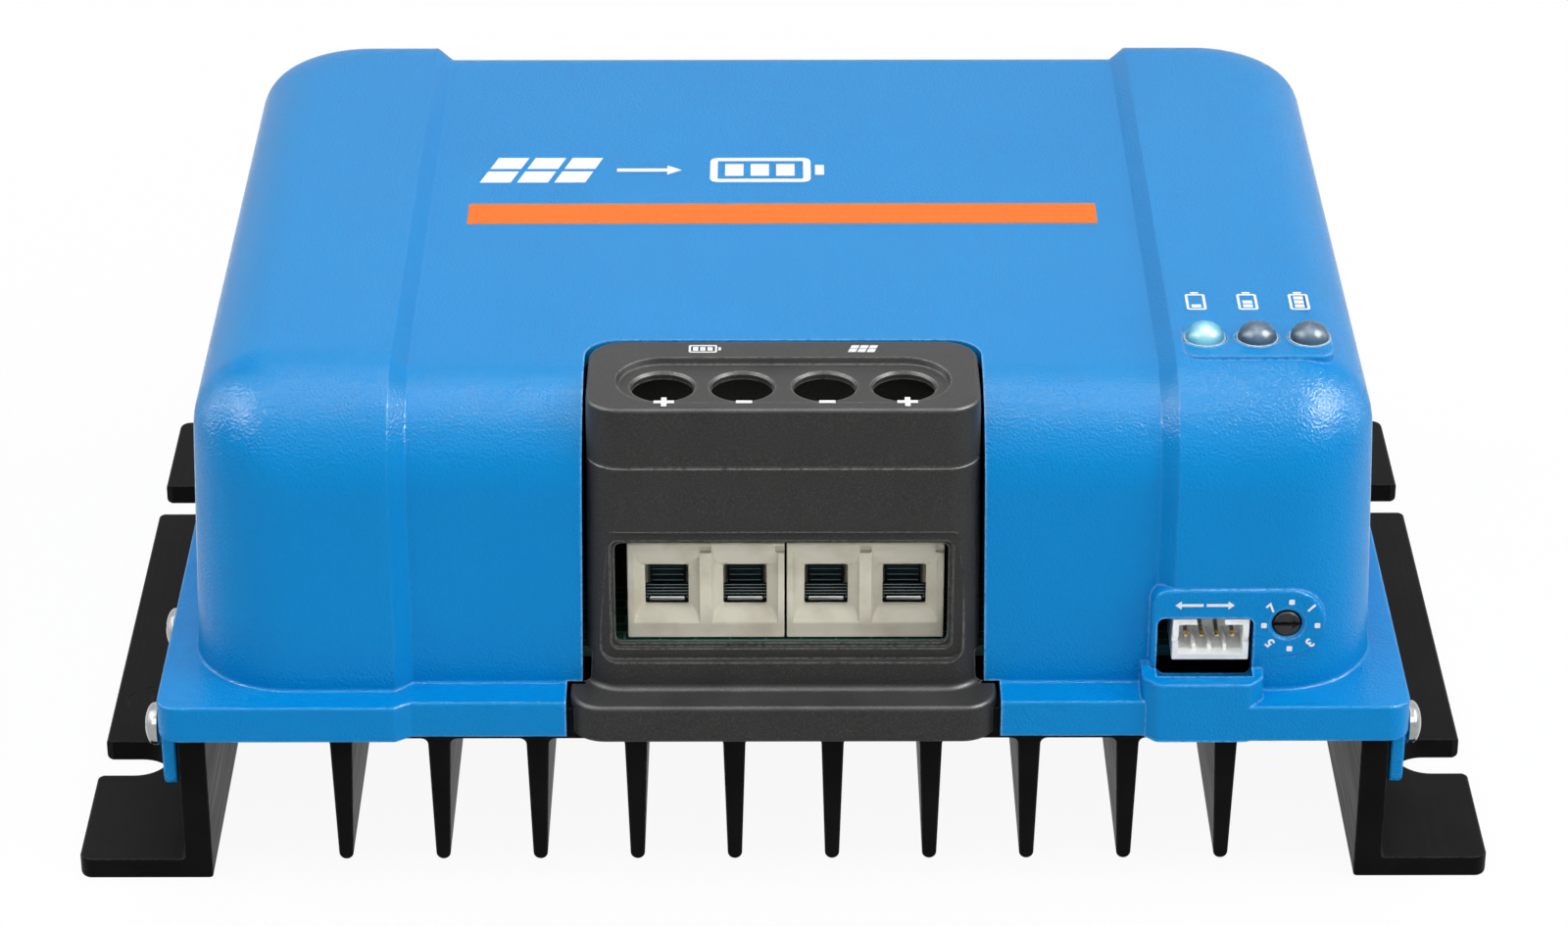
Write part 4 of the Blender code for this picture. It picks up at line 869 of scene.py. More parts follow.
def cap_grid(bm, row):
    """Close a ring with a grid whose lines run from its front half to its back half."""
    count = len(row) // 2 - SIDE_STEPS
    front = row[:count]
    right = row[count:count + SIDE_STEPS]
    back = row[count + SIDE_STEPS:2 * count + SIDE_STEPS][::-1]
    left = row[2 * count + SIDE_STEPS:][::-1]
    columns = [[front[0]] + left + [back[0]]]
    for near, far in zip(front[1:-1], back[1:-1]):
        spots = [near.co.lerp(far.co, (i + 1) / (SIDE_STEPS + 1)) for i in range(SIDE_STEPS)]
        columns.append([near] + [bm.verts.new(spot) for spot in spots] + [far])
    columns.append([front[-1]] + right + [back[-1]])
    for one, two in zip(columns, columns[1:]):
        for i in range(SIDE_STEPS + 1):
            bm.faces.new((one[i], two[i], two[i + 1], one[i + 1]))


def cover_shell():
    """Rings from the top edge down outside, round the lip, and up inside."""
    rings = [body_ring(BODY_TOP - drop) for drop, _ in quarter(ROUND_FRONT, ROUND_STEPS)[:0:-1]]
    start = BODY_TOP - ROUND_FRONT
    foot = LIP_TOP + FOOT_FILLET
    rings += [body_ring(start + (foot - start) * i / WALL_STEPS) for i in range(WALL_STEPS + 1)]
    rings += [body_ring(LIP_TOP + rise, flare=out) for rise, out in quarter(FOOT_FILLET, 4)[1:]]
    rings += [lip_ring(LIP_TOP - drop, inward) for inward, drop in quarter(LIP_EDGE, 4)]
    rings += [lip_ring(LIP_BOTTOM + rise, inward) for rise, inward in quarter(LIP_EDGE, 3)]
    rings += [rebate_ring(z) for z in (LIP_BOTTOM, REBATE_TOP)]
    rings.append(body_ring(REBATE_TOP, BODY_WALL))
    inside = quarter(ROUND_FRONT - BODY_WALL, WALL_STEPS)
    rings += [body_ring(BODY_TOP - BODY_WALL - drop, BODY_WALL) for drop, _ in inside]
    bm = bmesh.new()
    rows = [[bm.verts.new(point) for point in points] for points in rings]
    skin(bm, rows)
    cap_grid(bm, rows[0])
    cap_grid(bm, rows[-1])
    return bm


cover = new_piece("cover_casting", cover_shell(), powder_coat)
print("shell faces:", len(cover.data.polygons))

# %% [markdown]
# ## Pads, ledge and openings of the cover
# The casting also carries two side skirts, a flat pad for the selector, a ledge under the data connector
# and a low pad round the lamps. They are soft prisms that are joined on, and then the hood's notch and
# the holes are cut through everything at once, as a mill would do.

# %% Cover details
SKIRT = rounded(-61.25, 61.25, 13.4, 23.2, 1.8)
SKIRT_INNER = 79.3
SKIRT_OUTER = 81.1
LEDGE_FRONT = -LIP_DEPTH - 0.02
LEDGE_TOP = 31.0
LEDGE_EDGE = 0.22
SELECTOR = (64.9, 37.5)
PAD_FRONT = -60.65
PAD_THICK = 3.0
PAD_RADIUS = 5.0
LAMP_X = (54.34, 61.10, 67.86)
LAMP_Y = -43.0
LAMP_PAD = rounded(51.5, 70.7, -48.3, -38.0, 2.2)
LAMP_PAD_TOP = 70.0


def ledge_shape():
    """The shelf under the connector, whose lower part ends inside the lip."""
    corners = [(46.3, -58.5), (46.3, -63.0), (48.2, LEDGE_FRONT)]
    corners += [(60.1, LEDGE_FRONT), (62.0, -63.0), (62.0, -58.5)]
    ledge = soften(corners, 0.6)
    inner = -62.6
    foot = [(x, y if y < inner else inner + 0.01 * (y - inner)) for x, y in ledge]
    levels = [(foot, LIP_BOTTOM + 0.05), (foot, 26.9), (ledge, 27.1)]
    levels += [(inset(ledge, inward), LEDGE_TOP - drop) for inward, drop in quarter(LEDGE_EDGE, 4)[::-1]]
    return loft(levels)


def pad_shape():
    """The selector's pad, round at the right and with one rounded corner at the left."""
    outline = [(47.4, LEDGE_TOP), (55.0, LEDGE_TOP)]
    outline += arc(*SELECTOR, PAD_RADIUS, 270, 450, 24) + arc(49.6, 40.3, 2.2, 90, 180, 8)
    return soft_prism(outline, PAD_FRONT, PAD_FRONT + PAD_THICK, "Y", low_edge=0.5)


def add_cover_details(obj):
    skirts = bmesh.new()
    for side in (-1, 1):
        low, high = sorted((side * SKIRT_INNER, side * SKIRT_OUTER))
        soft_prism(SKIRT, low, high, "X", 0.4, 0.4, bm=skirts)
    join(obj, skirts)
    join(obj, ledge_shape())
    join(obj, pad_shape())
    join(obj, soft_prism(LAMP_PAD, 63.3, LAMP_PAD_TOP, high_edge=0.3))


add_cover_details(cover)
print("faces with pads:", len(cover.data.polygons))

# %% Cover openings
# Each side screw is on the left or right, at a place along the cover. The last one is the earth screw.
SIDE_SCREWS = ((-1, -58.0), (-1, 58.0), (1, -58.0), (1, 58.0), (-1, -33.3))
SIDE_SCREW_Z = 21.3
SCREW_HOLE = 1.8
LAMP_HOLE = 2.85
SELECTOR_BORE = ((2.35, -61.0), (2.35, -60.63), (1.98, -60.30), (1.98, -56.85))
CONNECTOR_POCKET = rounded(48.2, 60.6, 29.0, 38.4, 1.0)
# The hood's foot goes through the lip, and its wall leans back in a notch that narrows towards the top.
HOOD_FOOT_GAP = rounded(-28.15, 28.15, -70.0, -49.8, 0.3, 2)
NOTCH_FOOT = rounded(-26.1, 26.1, -90.0, -38.85, 4.5)
NOTCH_HEAD = rounded(-25.5, 25.5, -90.0, -38.98, 4.2)


def cut_cover_openings(obj):
    cut(obj, soft_prism(HOOD_FOOT_GAP, 10.0, 28.0))
    cut(obj, loft([(NOTCH_FOOT, 27.75), (NOTCH_HEAD, 75.0)]))
    cut(obj, soft_prism(CONNECTOR_POCKET, -62.8, -52.7, "Y"))
    holes = turned(*SELECTOR, SELECTOR_BORE, axis="Y")
    for x in LAMP_X:
        turned(x, LAMP_Y, [(LAMP_HOLE, 60.0), (LAMP_HOLE, 72.0)], bm=holes)
    for side, y in SIDE_SCREWS:
        low, high = sorted((side * 78.5, side * 82.0))
        turned(y, SIDE_SCREW_Z, [(SCREW_HOLE, low), (SCREW_HOLE, high)], 20, "X", holes)
    cut(obj, holes)


cut_cover_openings(cover)
settle(cover, "housing", ["cover"], 28)

# %% [markdown]
# ## Heat sink
# The heat sink is one aluminium extrusion: two slotted flanges, two legs, a base plate and ten tapered fins.
# The plain part of its section is drawn once and extruded. The fins are one profile on a row of ten points,
# so the node tree lays them, and their number and pitch stay easy to change.

# %% Heat sink
SINK_HALF = 93.0
SINK_DEPTH = 62.2
LEG_INNER = 75.3
LEG_OUTER = 78.9
FLANGE_TOP = 2.9
BASE_BOTTOM = 21.4
BASE_TOP = 26.0
FIN_COUNT = 10
FIN_PITCH = 12.8
FIN_ROOT = 1.45
FIN_TIP = 0.95
FIN_FOOT = 2.9
FIN_FILLET = 0.9
SLOT_X = 88.1
SLOT_Y = 36.9
SLOT_RADIUS = 4.4
EARTH_SIGN = (-87.9, -21.3)
STAMP_FLOOR = 2.78
STAMP_TOP = 3.5
STAMP_LINE = 0.09


def sink_frame():
    """Flanges, legs and base plate, with small rounded edges and saw-cut ends."""
    section = [(LEG_INNER, 0.0), (SINK_HALF, 0.0), (SINK_HALF, FLANGE_TOP), (LEG_OUTER, FLANGE_TOP)]
    section.append((LEG_OUTER, BASE_TOP))
    section += [(-x, z) for x, z in section[::-1]]
    section += [(-LEG_INNER, BASE_BOTTOM), (LEG_INNER, BASE_BOTTOM)]
    return soft_prism(soften(section, 0.55), -SINK_DEPTH, SINK_DEPTH, "Y", 0.15, 0.15, 2)


def fin():
    """One tapered fin with a round foot and a fillet at its root, sunk a little into the base plate."""
    side = [(FIN_ROOT + FIN_FILLET, BASE_BOTTOM + 0.3)]
    side += [(FIN_ROOT + out, BASE_BOTTOM - drop) for out, drop in quarter(FIN_FILLET, 5)]
    outline = arc(0.0, FIN_FOOT + FIN_TIP, FIN_TIP, 180, 360, 10) + side[::-1] + [(-x, z) for x, z in side]
    return soft_prism(outline, -SINK_DEPTH, SINK_DEPTH, "Y", 0.12, 0.12, 2)


def slot_cutters():
    """Open slots for the wall screws and the rounded corners of the flanges."""
    bm = bmesh.new()
    slot = arc(SLOT_X, 0.0, SLOT_RADIUS, 90, 270, 20)
    slot += [(92.2, -SLOT_RADIUS), (93.5, -5.3), (93.5, 5.3), (92.2, SLOT_RADIUS)]
    corner = arc(91.0, 60.2, 2.0, 0, 90, 8) + [(91.0, 64.0), (95.0, 64.0), (95.0, 60.2)]
    for side in (-1, 1):
        for end in (-1, 1):
            soft_prism([(side * u, end * SLOT_Y + v) for u, v in slot], -1.0, 4.0, bm=bm)
            soft_prism([(side * u, end * v) for u, v in corner], -1.0, 4.0, bm=bm)
    return bm


def earth_stamp():
    """A stamped ring with a stem and three short bars in it, the sign of an earth point."""
    bm = bmesh.new()
    x, y = EARTH_SIGN
    hoop(x, y, [(3.25, STAMP_FLOOR), (3.42, STAMP_FLOOR), (3.42, STAMP_TOP), (3.25, STAMP_TOP)], bm)
    lines = []
    for i, half in enumerate((1.7, 1.1, 0.5)):
        low = y - 0.3 - 0.75 * i
        lines.append((x - half, x + half, low - STAMP_LINE, low + STAMP_LINE))
    lines.append((x - STAMP_LINE, x + STAMP_LINE, y, y + 2.0))
    for sides in lines:
        soft_prism(rounded(*sides, 0.05, 2), STAMP_FLOOR, STAMP_TOP, bm=bm)
    return bm


def make_heat_sink():
    sink = new_piece("heat_sink_extrusion", sink_frame(), anodised)
    cut(sink, slot_cutters())
    cut(sink, earth_stamp())
    start = (-FIN_PITCH * (FIN_COUNT - 1) / 2, 0.0, 0.0)
    add_row(sink, fin(), FIN_COUNT, start, (FIN_PITCH, 0.0, 0.0), anodised)
    settle(sink, "housing", ["heat_sink"])


make_heat_sink()

# %% [markdown]
# ## Side screws
# A button-head screw near each corner holds the cover to the heat sink's legs, and a fifth on the left takes
# the earth wire. One screw is turned and gets a cross recess. The node tree sets it on five points and turns
# it to the left or the right by each point's attribute.

# %% Side screws
SCREW_SEAT = 81.45
SCREW_HEAD = 2.8
RECESS_LONG = 1.7
RECESS_WIDE = 0.32
RECESS_TAPER = 0.55
# The recess of each screw is turned by its place, so that no two stand alike.
TURN_BY_PLACE = 0.4


def side_screw():
    """A button-head screw along +X, its seat at the origin."""
    profile = [(1.5, -5.0), (1.5, 0.0), (2.5, 0.0), (SCREW_HEAD, 0.25)] + dome(SCREW_HEAD, 0.75, 1.25, 75, 8)
    screw = new_piece("screw_copy", turned(0.0, 0.0, profile, 32, "X"), zinc)
    for wide, tall in ((RECESS_LONG, RECESS_WIDE), (RECESS_WIDE, RECESS_LONG)):
        high = box(-wide, wide, -tall, tall)
        low = [(u * RECESS_TAPER, v * RECESS_TAPER) for u, v in high]
        cut(screw, loft([(low, 1.0), (high, 2.4)], "X"))
    return screw


def make_side_screws():
    places = [(side * SCREW_SEAT, y, SIDE_SCREW_Z) for side, y in SIDE_SCREWS]
    turns = [(TURN_BY_PLACE * y, 0.0, 0.0 if side > 0 else math.pi) for side, y in SIDE_SCREWS]
    screws = make_set("side_screws", side_screw(), places, turns, zinc)
    settle(screws, "housing", numbered("side_screw", 4) + ["earth_screw"])


make_side_screws()

# %% [markdown]
# ## Terminal hood
# The hood is a moulded box that leans back a little. It stands in the cover's notch, its foot hangs over
# the heat sink's front edge, and a window shows the terminals. A faint groove runs round it where the two
# halves of its tool meet. The wall is a loft with that groove and the foot's fillet in its levels, and the
# window, frame, pill-shaped recess and driver holes are cut with soft edges.

# %% Terminal hood
HOOD_HALF = 25.6
HOOD_FRONT = -60.3
HOOD_BACK = -39.35
HOOD_LOW = 27.1
HOOD_TOP = 67.8
HOOD_CORNER = 4.5
HOOD_WALL = 2.0
HOOD_FILLET = 0.9
HOOD_EDGE = 0.55
HOOD_LEAN = 1.5
HOOD_NARROWING = 0.5
HOOD_FOOT_HALF = 27.65
HOOD_FOOT_FRONT = -65.0
HOOD_FOOT_BACK = -58.3
HOOD_FOOT_LOW = 22.4
HOOD_FOOT_TOP = 27.7
# What lies behind these planes and under these heights is cut away, first from the wall, then from the foot.
WALL_CLEAR = (-58.0, 32.1)
FOOT_CLEAR = (-62.5, 26.3)
# The groove's levels are pairs of height and depth.
GROOVE = ((59.42, 0.0), (59.50, 0.10), (59.62, 0.10), (59.70, 0.0))
# Each step of the window's frame has its sides, slope, corner and floor.
FRAME_STEPS = (((-23.9, 23.5, 31.4, 50.7), 0.3, 2.2, -59.15), ((-22.6, 22.1, 32.8, 49.4), 0.4, 1.4, -58.6))
WINDOW = rounded(-21.7, 21.2, 33.7, 48.5, 1.0)
DRIVER_X = (-15.43, -5.27, 5.27, 15.43)
DRIVER_Y = -50.4
DRIVER_HOLE = ((4.0, 63.0), (4.0, 66.5), (4.3, 66.9), (4.3, 70.0))
PILL_HALF = (21.3, 6.2)
PILL_CORNER = 6.0
PILL_RIM = ((0.45, 66.85), (0.2, 66.95), (0.08, 67.2), (0.0, 67.6), (-0.12, 67.81), (-0.2, 70.0))


def hood_outline(z, inward):
    """The wall's outline at a height: narrower and further back towards the top."""
    share = (z - HOOD_LOW) / (HOOD_TOP - HOOD_LOW)
    half = HOOD_HALF - HOOD_NARROWING * share - inward
    front = HOOD_FRONT + HOOD_LEAN * share + inward
    return rounded(-half, half, front, HOOD_BACK - inward, HOOD_CORNER - inward, 10)


def hood_wall():
    levels = [(hood_outline(27.0, -0.6), 27.0)]
    for out, rise in quarter(HOOD_FILLET, 4):
        levels.append((hood_outline(HOOD_FOOT_TOP, -out), HOOD_FOOT_TOP + rise))
    for z, inward in ((45.0, 0.0), *GROOVE):
        levels.append((hood_outline(z, inward), z))
    for drop, inward in quarter(HOOD_EDGE, 5):
        levels.append((hood_outline(HOOD_TOP - drop, inward), HOOD_TOP - drop))
    return loft(levels)


def hood_foot():
    side = HOOD_FOOT_HALF - HOOD_CORNER
    front = HOOD_FOOT_FRONT + HOOD_CORNER
    outline = arc(-side, front, HOOD_CORNER, 180, 270, 10) + arc(side, front, HOOD_CORNER, 270, 360, 10)
    outline += [(HOOD_FOOT_HALF, HOOD_FOOT_BACK), (-HOOD_FOOT_HALF, HOOD_FOOT_BACK)]
    return soft_prism(outline, HOOD_FOOT_LOW, HOOD_FOOT_TOP, low_edge=0.5, high_edge=0.7)


def clearance(plane, height):
    return soft_prism(box(-90, 90, plane, 0), 10.0, height)


def make_hood():
    hood = new_piece("terminal_hood", hood_wall(), hood_plastic)
    hollow_foot = (hood_outline(HOOD_LOW, HOOD_WALL), 26.0)
    hollow_head = (hood_outline(HOOD_TOP, HOOD_WALL), HOOD_TOP - HOOD_WALL)
    cut(hood, loft([hollow_foot, hollow_head]))
    cut(hood, clearance(*WALL_CLEAR))
    join(hood, hood_foot())
    cut(hood, clearance(*FOOT_CLEAR))
    for sides, slope, radius, floor in FRAME_STEPS:
        near = rounded(*sides, radius)
        cut(hood, loft([(near, -62.0), (inset(near, slope), floor)], "Y"))
    cut(hood, soft_prism(WINDOW, -62.0, -55.0, "Y"))
    holes = bmesh.new()
    for x in DRIVER_X:
        turned(x, DRIVER_Y, DRIVER_HOLE, 48, bm=holes)
    cut(hood, holes)
    wide, deep = PILL_HALF
    pill = rounded(-wide, wide, DRIVER_Y - deep, DRIVER_Y + deep, PILL_CORNER, 14)
    cut(hood, loft([(inset(pill, inward), z) for inward, z in PILL_RIM]))
    settle(hood, "housing", ["terminal_shroud"], 30)


make_hood()

# %% [markdown]
# ## Terminal blocks
# Two beige blocks of two poles take the battery and panel wires. Each pole has a flared mouth, a chamber for
# its cage and a bore for its screw. The mouth's sides open quickly and its floor late, so the corners of the
# flare are curved lines, as on the moulding. It is a loft of rectangles that grow by a sine and a cosine.

# %% Terminal blocks
POLE_X = (-15.13, -4.97, 5.57, 15.73)
BLOCK_WIDTH = 20.4
BLOCK_FACE = -54.5
BLOCK_BROW = -53.9
BLOCK_BACK = -43.5
BLOCK_LOW = 32.1
BLOCK_TOP = 57.0
# The brow starts above the face with a short slope, and two notches sit under it.
BROW_LOW = 46.4
FACE_HIGH = 46.1
NOTCH_HALF = 0.75
NOTCH_SPAN = (44.7, 45.8)
CLAMP_Y = -49.8
# The cage's chamber and the contact bar's slot: half width, front, back, low, high and corner.
CHAMBER = (4.2, -52.6, -47.0, 33.8, 52.9, 0.4)
BAR_SLOT = (2.6, -49.8, -45.3, 30.0, 43.9, 0.2)
SCREW_BORE = ((2.2, 52.0), (2.2, 54.0), (3.3, 54.01), (3.3, 56.6), (3.6, 57.2))
# The mouth's half width, sill and head, and how far the flare opens each of them.
MOUTH = (2.825, 36.3, 42.25)
FLARE = (1.475, 2.3, 2.95)
FLARE_STEPS = 8
FLARE_DEPTH = 1.65
THROAT_Y = -52.9


def mouth_flare(x):
    half, sill, head = MOUTH
    wider, lower, higher = FLARE
    levels = [(rounded(x - half, x + half, sill, head, 0.25, 2), -50.5)]
    for i in range(FLARE_STEPS + 1):
        t = math.radians(90 * i / FLARE_STEPS)
        wide = half + wider * math.sin(t)
        low = sill - lower * (1 - math.cos(t))
        high = head + higher * (1 - math.cos(t))
        outline = rounded(x - wide, x + wide, low, high, 0.25, 2)
        levels.append((outline, THROAT_Y - FLARE_DEPTH * i / FLARE_STEPS))
    return loft(levels, "Y")


def make_block(name, node, poles):
    middle = sum(poles) / 2
    left = middle - BLOCK_WIDTH / 2
    right = left + BLOCK_WIDTH
    side = [(BLOCK_FACE, BLOCK_LOW), (BLOCK_BACK, BLOCK_LOW), (BLOCK_BACK, BLOCK_TOP)]
    side += [(BLOCK_BROW, BLOCK_TOP), (BLOCK_BROW, BROW_LOW), (BLOCK_FACE, FACE_HIGH)]
    block = new_piece(name, soft_prism(soften(side, 0.25, 3), left, right, "X", 0.2, 0.2, 3), beige_nylon)
    for x in (middle, right - 0.4):
        notch = rounded(x - NOTCH_HALF, x + NOTCH_HALF, *NOTCH_SPAN, 0.15, 2)
        cut(block, soft_prism(notch, -56.0, -53.95, "Y"))
    for x in poles:
        cut(block, mouth_flare(x))
        for half, front, back, low, high, corner in (CHAMBER, BAR_SLOT):
            cut(block, soft_prism(rounded(x - half, x + half, front, back, corner), low, high))
        cut(block, turned(x, CLAMP_Y, SCREW_BORE))
    settle(block, "housing", [node], 30)


make_block("battery_block", "terminal_block_battery", POLE_X[:2])
make_block("panel_block", "terminal_block_panel", POLE_X[2:])

# %% [markdown]
# ## Contact bars
# Behind each mouth stands a bent bar with cross ridges that grip the wire. One bar gets its ridges from the
# row tree, and the set tree then places four of them.

# %% Contact bars
BAR_HALF = 2.3
BAR_BEND = [(-52.0, 42.4), (-46.8, 42.4), (-46.8, 32.1), (-45.6, 32.1), (-45.6, 43.6), (-52.0, 43.6)]
BAR_RIDGES = 7
BAR_RIDGE = (2.1, 0.22)
BAR_RIDGE_PLACE = (0.0, -46.82, 36.4)
BAR_RIDGE_STEP = (0.0, 0.0, 0.85)


def ridge(half, radius):
    """A rounded bar along X, to be sunk in a face."""
    return soft_prism(ring(0.0, 0.0, radius, 12), -half, half, "X", 0.08, 0.08, 2)


def make_contact_bars():
    strip = soft_prism(soften(BAR_BEND, 0.3), -BAR_HALF, BAR_HALF, "X", 0.15, 0.15, 2)
    # The bar's dark metal is painted shade of the mouth it stands behind.
    bar = new_piece("bar_copy", strip, contact_metal_painted_shade)
    add_row(bar, ridge(*BAR_RIDGE), BAR_RIDGES, BAR_RIDGE_PLACE, BAR_RIDGE_STEP, contact_metal_painted_shade)
    places = [(x, 0.0, 0.0) for x in POLE_X]
    bars = make_set("contact_bars", bar, places, [(0.0, 0.0, 0.0)] * len(places), contact_metal_painted_shade)
    settle(bars, "housing", numbered("contact_bar", 4))


make_contact_bars()

# %% [markdown]
# ## Rising cages and clamp screws
# Turning a screw lifts its cage and presses the wire against the bar. A cage is a bent steel frame with a
# bored roof and a ridged jaw, and a lip stands at the jaw's front. The lip is bright zinc against the cage's
# dark steel: a painted highlight on the jaw's front edge, over painted shade in the mouth. The screw turns
# while its cage slides, so each is a piece of its own on its own body.

# %% Rising cages and clamp screws
CAGE_FRONT = -52.3
CAGE_BACK = -47.3
# The cage's frame, its opening and its lip: half width, low, high and corner.
CAGE_FRAME = (3.8, 34.8, 47.8, 0.6)
CAGE_OPENING = (3.1, 36.2, 46.2, 0.4)
CAGE_LIP = (2.45, 36.25, 37.05, 0.3)
CAGE_BORE = ((2.2, 46.0), (2.2, 48.0))
JAW_RIDGES = 5
JAW_RIDGE = (2.9, 0.28)
JAW_RIDGE_STEP = (0.0, 0.8, 0.0)
JAW_START = -50.9
JAW_HEIGHT = 36.17
THREAD_START = 44.7
THREAD_END = 52.6
THREAD_PITCH = 0.8
THREAD_CORE = 1.6
THREAD_CREST = 1.88
CLAMP_TIP = [(1.2, 44.25), (1.55, 44.5)]
CLAMP_HEAD = [(1.7, 53.4), (1.7, 54.3), (2.85, 54.3), (3.0, 54.45), (3.0, 56.55), (2.7, 56.9)]
DRIVER_SLOT = 0.5
DRIVER_CROSS = 1.7


def cage_outline(x, half, low, high, corner):
    return rounded(x - half, x + half, low, high, corner, 4)


def make_cage(number, x):
    body = "clamp_cage_%d" % number
    bent = soft_prism(cage_outline(x, *CAGE_FRAME), CAGE_FRONT, CAGE_BACK, "Y", 0.12, 0.12, 2)
    cage = new_piece("rising_cage_%d" % number, bent, cage_steel)
    cut(cage, soft_prism(cage_outline(x, *CAGE_OPENING), -53.0, -46.0, "Y"))
    cut(cage, turned(x, CLAMP_Y, CAGE_BORE, 24))
    add_row(cage, ridge(*JAW_RIDGE), JAW_RIDGES, (x, JAW_START, JAW_HEIGHT), JAW_RIDGE_STEP, cage_steel)
    settle(cage, body, [body])
    # The lip's bright zinc is a painted highlight on the jaw's front edge.
    lip = soft_prism(cage_outline(x, *CAGE_LIP), -52.28, -51.5, "Y", 0.25, 0.25, 3)
    settle(new_piece("cage_lip_%d" % number, lip, zinc), body)


def make_clamp_screw(number, x):
    body = "clamp_screw_%d" % number
    profile = list(CLAMP_TIP)
    z = THREAD_START
    while z < THREAD_END:
        profile += [(THREAD_CORE, z), (THREAD_CREST, z + 0.3)]
        profile += [(THREAD_CREST, z + 0.4), (THREAD_CORE, z + 0.7)]
        z += THREAD_PITCH
    profile += CLAMP_HEAD
    screw = new_piece(body + "_turned", turned(x, CLAMP_Y, profile, 32), zinc)
    slot = box(x - 4, x + 4, CLAMP_Y - DRIVER_SLOT, CLAMP_Y + DRIVER_SLOT)
    cross = rounded(x - DRIVER_SLOT, x + DRIVER_SLOT, CLAMP_Y - DRIVER_CROSS, CLAMP_Y + DRIVER_CROSS, 0.3, 3)
    cut(screw, soft_prism(slot, 55.7, 58.0))
    cut(screw, soft_prism(cross, 55.5, 58.0))
    settle(screw, body, [body])


for number, pole in enumerate(POLE_X, 1):
    make_cage(number, pole)
    make_clamp_screw(number, pole)

# %% [markdown]
# ## Data connector
# A small white header stands behind the cover's pocket. Its top wall is open in the middle for a latch,
# its floor has three ribs between the pins, and the pins are square with pointed tips. Ribs and pins are
# rows.

# %% Data connector
HEADER_FRONT = -60.35
HEADER_BACK = -52.75
HEADER_FLOOR = 32.95
HEADER_SHELL = rounded(50.2, 60.1, 32.1, 38.1, 0.15, 2)
HEADER_CAVITY = rounded(51.0, 59.3, HEADER_FLOOR, 37.3, 0.2, 2)
LATCH_GAP = box(53.3, 56.9, 36.9, 39.0)
SIDE_SLOT_X = (50.45, 59.85)
LATCH_SLIT_X = (54.1, 56.1)
HEADER_RIB = rounded(-0.25, 0.25, -0.1, 0.9, 0.12, 2)
PIN_X = 52.1
PIN_STEP = 2.0
PIN_Z = 34.9
PIN_HALF = 0.25
TIP_END = -58.5
SHANK_START = -57.7
GOLD = (0.85, 0.58, 0.20)
# The tin is dark as painted shade inside the header.
TIN_IN_PAINTED_SHADE = (0.20, 0.19, 0.17)


def make_header():
    shell = soft_prism(HEADER_SHELL, HEADER_FRONT, HEADER_BACK, "Y", 0.12, 0.12, 2)
    header = new_piece("data_header", shell, white_nylon)
    cut(header, soft_prism(HEADER_CAVITY, -61.0, -54.75, "Y"))
    cut(header, soft_prism(LATCH_GAP, -61.0, -55.6, "Y"))
    for x in SIDE_SLOT_X:
        cut(header, soft_prism(rounded(x - 0.75, x + 0.75, 34.7, 35.5, 0.1, 2), -61.0, -59.7, "Y"))
    for x in LATCH_SLIT_X:
        cut(header, soft_prism(box(x - 0.28, x + 0.28, 35.7, 39.0), -57.0, -53.6, "Y"))
    rib = soft_prism(HEADER_RIB, -59.3, -54.5, "Y", 0.1, 0.0, 2)
    add_row(header, rib, 3, (PIN_X + PIN_STEP / 2, 0.0, HEADER_FLOOR), (PIN_STEP, 0.0, 0.0), white_nylon)
    settle(header, "housing", ["data_connector"])


def make_pin_finish():
    """Dark tin along the pin as painted shade in the header, and a gold flash on its tip, by the distance
    along Y.
    """
    material, tree, shader = new_finish("tipped_pin", (0.80, 0.56, 0.20), 0.25, metallic=1.0)
    along = add_node(tree, "ShaderNodeSeparateXYZ", {"Vector": object_place(tree)}).outputs["Y"]
    shank = map_range(tree, along, TIP_END * MM, SHANK_START * MM)
    colour_range(tree, shank, shader, [(0.2, GOLD), (0.8, TIN_IN_PAINTED_SHADE)])
    rough_range(tree, grain(tree, 0.3), shader, 0.18, 0.34)
    return material


def make_pins():
    bend = [(-58.6, -0.25), (-52.25, -0.25), (-52.25, -2.75), (-51.75, -2.75), (-51.75, 0.25), (-58.6, 0.25)]
    bend += [(-58.95, 0.1), (-58.95, -0.1)]
    pin = soft_prism(bend, -PIN_HALF, PIN_HALF, "X", 0.06, 0.06, 2)
    pins = new_piece("connector_pins", bmesh.new())
    add_row(pins, pin, 4, (PIN_X, 0.0, PIN_Z), (PIN_STEP, 0.0, 0.0), make_pin_finish())
    settle(pins, "housing", numbered("connector_pin", 4))


make_header()
make_pins()

# %% [markdown]
# ## Selector rotor
# The rotor is a black disc with a driver slot. One end of the slot opens into a small arrow, which shows the
# setting. It turns about its own axis, so it rides on the rotor's body.

# %% Selector rotor
ROTOR_RADIUS = 1.75
ROTOR_SLOT = 0.3


def make_rotor():
    x, z = SELECTOR
    profile = [(1.58, -60.55), (ROTOR_RADIUS, -60.38), (ROTOR_RADIUS, -55.2)]
    rotor = new_piece("selector_disc", turned(x, z, profile, 40, "Y"), black_plastic)
    cut(rotor, soft_prism(box(x - 3, x + 3, z - ROTOR_SLOT, z + ROTOR_SLOT), -62.0, -59.75, "Y"))
    cut(rotor, soft_prism([(x + 0.7, z - 0.75), (x + 1.55, z), (x + 0.7, z + 0.75)], -62.0, -60.1, "Y"))
    settle(rotor, "selector_rotor", ["selector_rotor"])


make_rotor()
